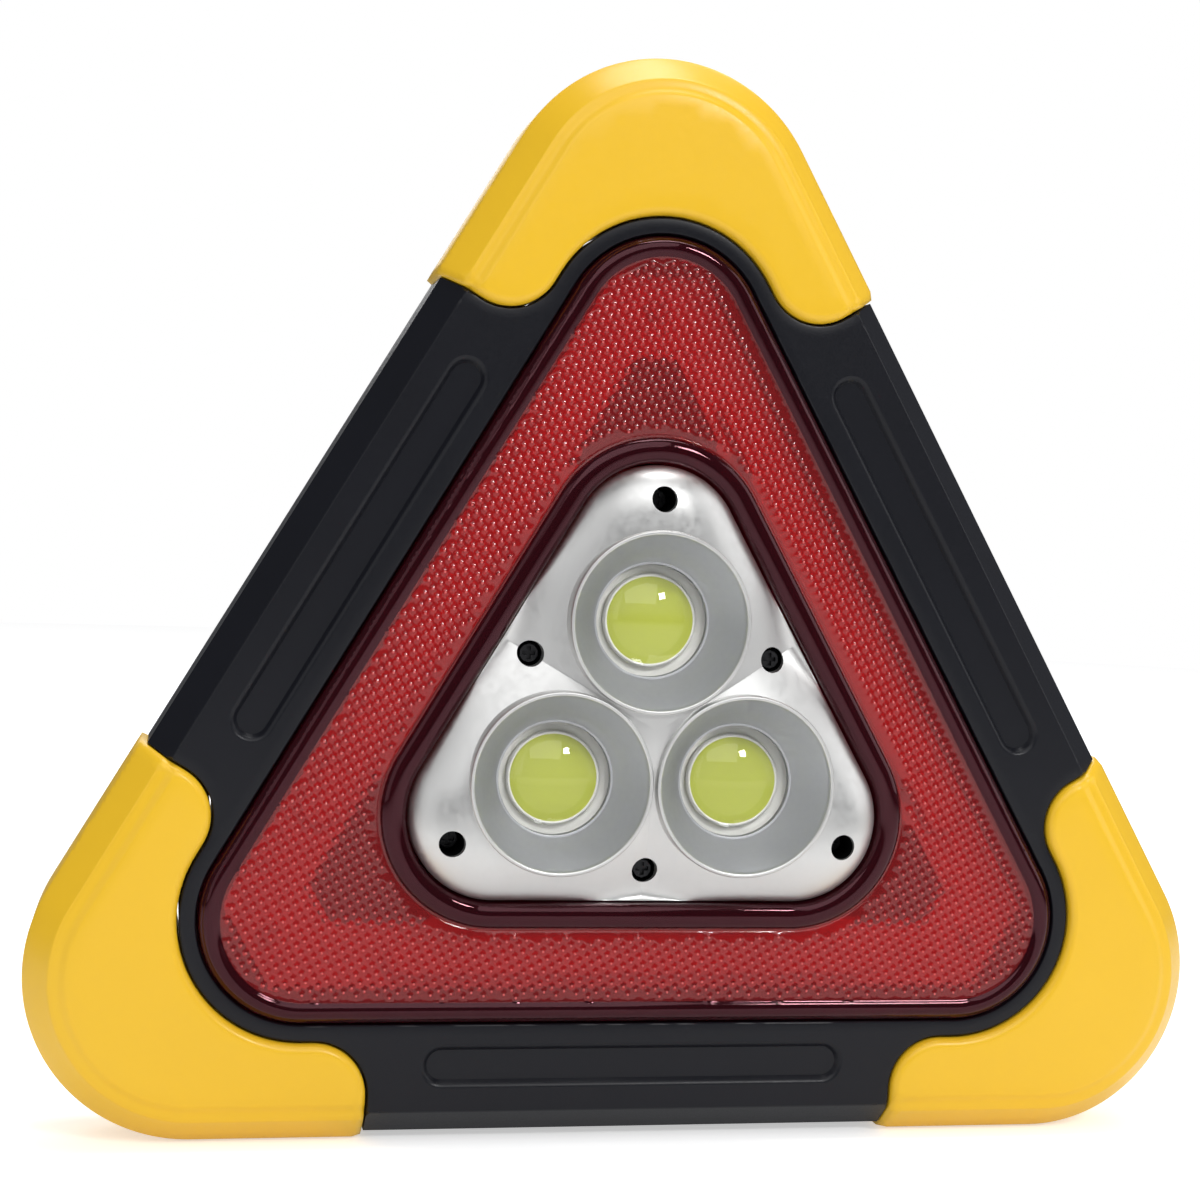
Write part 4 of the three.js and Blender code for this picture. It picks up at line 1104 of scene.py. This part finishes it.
battery_cover().piece("battery_cover", [BLACK_PLASTIC], "black_plastic", "cover")

STAND_LENGTH = 96.0
STAND_BAR = 8.0
STAND_THICKNESS = 7.6
STAND_INNER_HALF_WIDTH = 34.2
STAND_LEG_WIDTH = 7.0
STAND_OUTER_BEND = 7.0
STAND_INNER_BEND = 4.0
STAND_SOFT = 2.0


def stand():
    """A U that hangs from the pivot, with softly rounded edges, and a round eye on each leg."""
    inner = STAND_INNER_HALF_WIDTH
    outer = inner + STAND_LEG_WIDTH
    bottom = PIVOT_HEIGHT - STAND_LENGTH - STAND_BAR / 2
    top = PIVOT_HEIGHT
    bend, low = STAND_OUTER_BEND, bottom + STAND_OUTER_BEND
    inner_bend, inner_low = STAND_INNER_BEND, bottom + STAND_BAR + STAND_INNER_BEND
    loop = np.vstack(
        (
            ((inner, top), (outer, top)),
            arc((outer - bend, low), bend, 0, -90, 16),
            arc((-outer + bend, low), bend, -90, -180, 16),
            ((-outer, top), (-inner, top)),
            arc((-inner + inner_bend, inner_low), inner_bend, 180, 270, 10),
            arc((inner - inner_bend, inner_low), inner_bend, -90, 0, 10),
        )
    )
    loop = divided(loop, 1.5)

    def half(points):
        """Half the thickness. Under the eyes only the legs' long edges are rounded."""
        across = np.abs(points[:, 0])
        leg_edge = np.minimum(outer - across, across - inner)
        away = np.where(points[:, 1] > top - 2.5, leg_edge, distance_to(points, [closed(loop)]))
        return STAND_THICKNESS / 2 - rounded_drop(away, STAND_SOFT)

    front, back = (lambda p: PIVOT_DEPTH + half(p)), (lambda p: PIVOT_DEPTH - half(p))
    shape = Shape().slab([loop], front, back, 1.6, round_insets(STAND_SOFT))
    disc = circle((PIVOT_HEIGHT, PIVOT_DEPTH), PIVOT_EYE_RADIUS, 48)
    bore = circle((PIVOT_HEIGHT, PIVOT_DEPTH), 2.8, 32)
    eye = round_block(disc, inner, outer, 1.0, [bore])
    return shape.join(eye).join(eye.mirrored())


stand().piece("stand", [BLACK_PLASTIC], "black_plastic", "stand")


def power_button():
    """A rubber cap with a flange inside the case, a round shoulder and a dished top."""
    back, front = depths("power_button")
    dish = [(0, back + 0.6), (2.5, back + 0.55), (4.4, back + 0.3), (4.9, back + 0.05)]
    shoulder = [(5.4, back), (6.0, back + 0.2), (6.35, back + 0.55), (6.5, back + 1.0)]
    flange = [(6.5, front - 0.8), (8, front - 0.8), (8, front), (0, front)]
    return Shape().lathe([*dish, *shoulder, *flange], (*BUTTON_PLACE, 0), steps=72)


power_button().piece("power_button", [RUBBER], "black_rubber", "button")


def pivot_screw():
    """A shoulder screw with a round head and a socket."""
    end = LUG_INNER + 1
    head = STAND_INNER_HALF_WIDTH + STAND_LEG_WIDTH + GAP
    shank = [(0, end), (1.9, end), (2.3, end + 0.4), (2.3, head)]
    dome = [(3.9, head), (4, head + 0.1), (4, head + 1.1), (3.8, head + 1.55), (3.3, head + 1.85)]
    socket = [(2.2, head + 2), (1.9, head + 1.95), (1.75, head + 1.0), (0, head + 1.0)]
    return Shape().lathe([*shank, *dome, *socket], (0, PIVOT_HEIGHT, PIVOT_DEPTH), "x", 48)


WASHER_THICKNESS = 0.6


def pivot_washer():
    inner = POD_HALF_WIDTH + GAP
    outer = inner + WASHER_THICKNESS
    profile = [(2.6, inner), (4.7, inner), (4.8, inner + 0.1)]
    profile += [(4.8, outer - 0.1), (4.7, outer), (2.6, outer)]
    return Shape().lathe(profile, (0, PIVOT_HEIGHT, PIVOT_DEPTH), "x", 48, ring=True)


for side, make in (("right", lambda s: s), ("left", lambda s: s.mirrored())):
    for part, builder in (("screw", pivot_screw), ("washer", pivot_washer)):
        node = f"pivot_{part}_{side}"
        body = frame["nodes"][node]["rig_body"]
        make(builder()).piece(node, [BRIGHT_STEEL], "bright_steel", body)


CELL_HALF_LENGTH = 24.5
CELL_RADIUS = 7.2
CELL_BUTTON_RISE = 1.3
CELL_BAND_WIDTH = 12.0
BARE_RADIUS = 6.6


def cell(middle, height, depth, facing):
    """An AA cell along X: a jacketed can, a bare rim at each end and a button at its plus end."""
    half, radius = CELL_HALF_LENGTH, CELL_RADIUS
    minus = [(0, 0.3), (5.2, 0.3), (5.4, 0), (6.2, 0), (6.5, 0.25), (radius - 0.25, 0.3), (radius, 0.6)]
    plus = [(radius, -1.4), (radius - 0.3, -1.0), (5.6, -0.8), (5.2, -0.2), (3.1, 0)]
    button = [(2.7, 0.2), (2.7, 1.0), (2.4, CELL_BUTTON_RISE), (0, CELL_BUTTON_RISE)]
    can = [(r, along - half) for r, along in minus] + [(r, half + along) for r, along in plus + button]
    profile = [(r, facing * along) for r, along in can]
    if facing < 0:
        profile = profile[::-1]
    shape = Shape().lathe(profile, (middle, height, depth), "x", 56)
    for i, face in enumerate(shape.faces):
        x, y, z = np.array([shape.points[v] for v in face]).T
        if np.hypot(y - height, z - depth).mean() < BARE_RADIUS:
            shape.looks[i] = 1
        elif (x - middle).mean() * facing > half - CELL_BAND_WIDTH:
            shape.looks[i] = 2
    return shape


CELL_LOOKS = [CELL_JACKET, BRIGHT_STEEL, CELL_BAND]
for name in ("battery_1", "battery_2", "battery_3"):
    low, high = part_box(name)
    x, y, z = (low + high) / 2 * 1000
    facing = 1 if x > 0 else -1  # the button shifts the middle of its box to its own side
    shape = cell(x - facing * CELL_BUTTON_RISE / 2, z - BUMPER_INRADIUS, -y, facing)
    body = frame["nodes"][name]["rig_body"]
    shape.piece(name, CELL_LOOKS, "cell_jacket", body)


# CAD nodes that keep their shape

# The first start that fits a name gives its look. Nodes that a piece replaces need none of their own.
NODE_LOOKS = (
    ("lamp_board", WHITE_BOARD),
    ("warning_board_screw", WHITE_NYLON),
    ("warning_board", WHITE_BOARD),
    ("warning_strip", RED_SILICONE),
    ("warning_lead", BLACK_WIRE),
    ("control_board_screw", BRIGHT_STEEL),
    ("control_board", GREEN_BOARD),
    ("battery_lead_positive", RED_WIRE),
    ("battery_lead_negative", BLACK_WIRE),
    ("contact_", BRIGHT_STEEL),
    ("case_screw", BLACK_STEEL),
    ("reflector_screw", BLACK_STEEL),
    ("lens_gasket", FOAM),
    ("lamp_lead", RED_WIRE),
    ("", BLACK_PLASTIC),
)
for name, node in frame["nodes"].items():
    look = next(look for start, look in NODE_LOOKS if name.startswith(start))
    node.data.materials.clear()
    node.data.materials.append(look)


# Floor, light and camera

FLOOR_RADIUS = 1.5
FLOOR_NEAR_GLOW = 0.5
FLOOR_GLOW = 0.9
FLOOR_BOUNCE = 0.15
FLOOR_DROP = 0.0005


def floor():
    """A round white floor. The camera sees it glow more with distance, so that it meets the white
    surroundings without an edge. Other rays see it darken with distance, and a faint glow near the
    object."""
    made, nodes, links = material("pale_floor")
    shader = nodes["Principled BSDF"]
    set_inputs(shader, {"Roughness": 0.9, "Specular IOR Level": 0.1, "Emission Color": (1, 1, 1, 1)})
    place = nodes.new("ShaderNodeTexCoord")
    length = nodes.new("ShaderNodeVectorMath")
    length.operation = "LENGTH"
    links.new(place.outputs["Object"], length.inputs[0])
    distance = length.outputs["Value"]
    away = varied(nodes, links, distance, 0, 1, 0.3, 1.1)
    tones = shaded(nodes, links, away, (0.9, 0.9, 0.9), (0.3, 0.3, 0.3))
    links.new(tones, shader.inputs["Base Color"])
    path = nodes.new("ShaderNodeLightPath")
    glow = nodes.new("ShaderNodeMix")
    links.new(path.outputs["Is Camera Ray"], glow.inputs["Factor"])
    links.new(varied(nodes, links, away, FLOOR_BOUNCE, 0, 0, 1), glow.inputs["A"])
    links.new(varied(nodes, links, distance, FLOOR_NEAR_GLOW, FLOOR_GLOW, 0.12, 0.6), glow.inputs["B"])
    links.new(glow.outputs["Result"], shader.inputs["Emission Strength"])
    rim = circle((0, 0), FLOOR_RADIUS, 96)
    mesh = bpy.data.meshes.new("floor")
    mesh.from_pydata([(x, y, 0) for x, y in rim], [], [tuple(range(len(rim)))])
    mesh.materials.append(made)
    plane = bpy.data.objects.new("floor", mesh)
    plane.location.z = -FLOOR_DROP
    bpy.context.scene.collection.objects.link(plane)


OBJECT_MIDDLE = Vector((0, 0, 0.08))


def softbox(name, direction, distance, width, height, power):
    """An area light that looks at the middle of the object from a direction."""
    data = bpy.data.lights.new(name, "AREA")
    data.shape = "RECTANGLE"
    data.size, data.size_y = width, height
    data.energy = power
    lamp = bpy.data.objects.new(name, data)
    away = Vector(direction).normalized()
    lamp.location = OBJECT_MIDDLE + away * distance
    lamp.rotation_mode = "QUATERNION"
    lamp.rotation_quaternion = (-away).to_track_quat("-Z", "Y")
    bpy.context.scene.collection.objects.link(lamp)


def world():
    """White where the camera sees it, and dim for everything else."""
    made = bpy.data.worlds.new("studio")
    bpy.context.scene.world = made
    made.use_nodes = True
    nodes, links = made.node_tree.nodes, made.node_tree.links
    seen, lit = nodes["Background"], nodes.new("ShaderNodeBackground")
    set_inputs(seen, {"Color": (1, 1, 1, 1), "Strength": 1})
    set_inputs(lit, {"Color": (0.93, 0.95, 1, 1), "Strength": 0.15})
    mixed(nodes, links, "Is Camera Ray", lit, seen, "World Output")


CAMERA_PLACE = (-0.0785, -0.3578, 0.1032)
CAMERA_TURNS = (11.38, 2.11, -2.25)  # yaw, pitch and roll
CAMERA_LENS = 64.0


def camera():
    data = bpy.data.cameras.new("camera")
    data.lens = CAMERA_LENS
    data.sensor_width = 36
    made = bpy.data.objects.new("camera", data)
    yaw, pitch, roll = (math.radians(t) for t in CAMERA_TURNS)
    turn = Matrix.Rotation(roll, 3, "Z") @ Matrix.Rotation(pitch, 3, "X") @ Matrix.Rotation(yaw, 3, "Y")
    stand_up = Matrix(((1, 0, 0), (0, 0, -1), (0, 1, 0)))
    made.matrix_world = Matrix.Translation(CAMERA_PLACE) @ (stand_up @ turn.transposed()).to_4x4()
    bpy.context.scene.collection.objects.link(made)
    bpy.context.scene.camera = made


floor()
world()
camera()
softbox("key", (0.37, -0.78, 0.54), 1.0, 0.15, 0.15, 2.6)
softbox("overhead", (-0.12, -0.74, 0.67), 1.0, 0.8, 0.7, 3.0)
softbox("top", (0.1, 0.06, 1), 0.9, 0.6, 0.45, 4.6)
softbox("left_fill", (-0.9, -0.6, 0.35), 1.2, 0.7, 0.9, 1.5)
softbox("right_fill", (0.95, -0.25, 0.4), 1.2, 0.7, 0.9, 2.6)
softbox("back_fill", (0.1, 0.9, 0.6), 1.2, 1.0, 0.8, 5)
bpy.context.scene.view_settings.view_transform = "Standard"
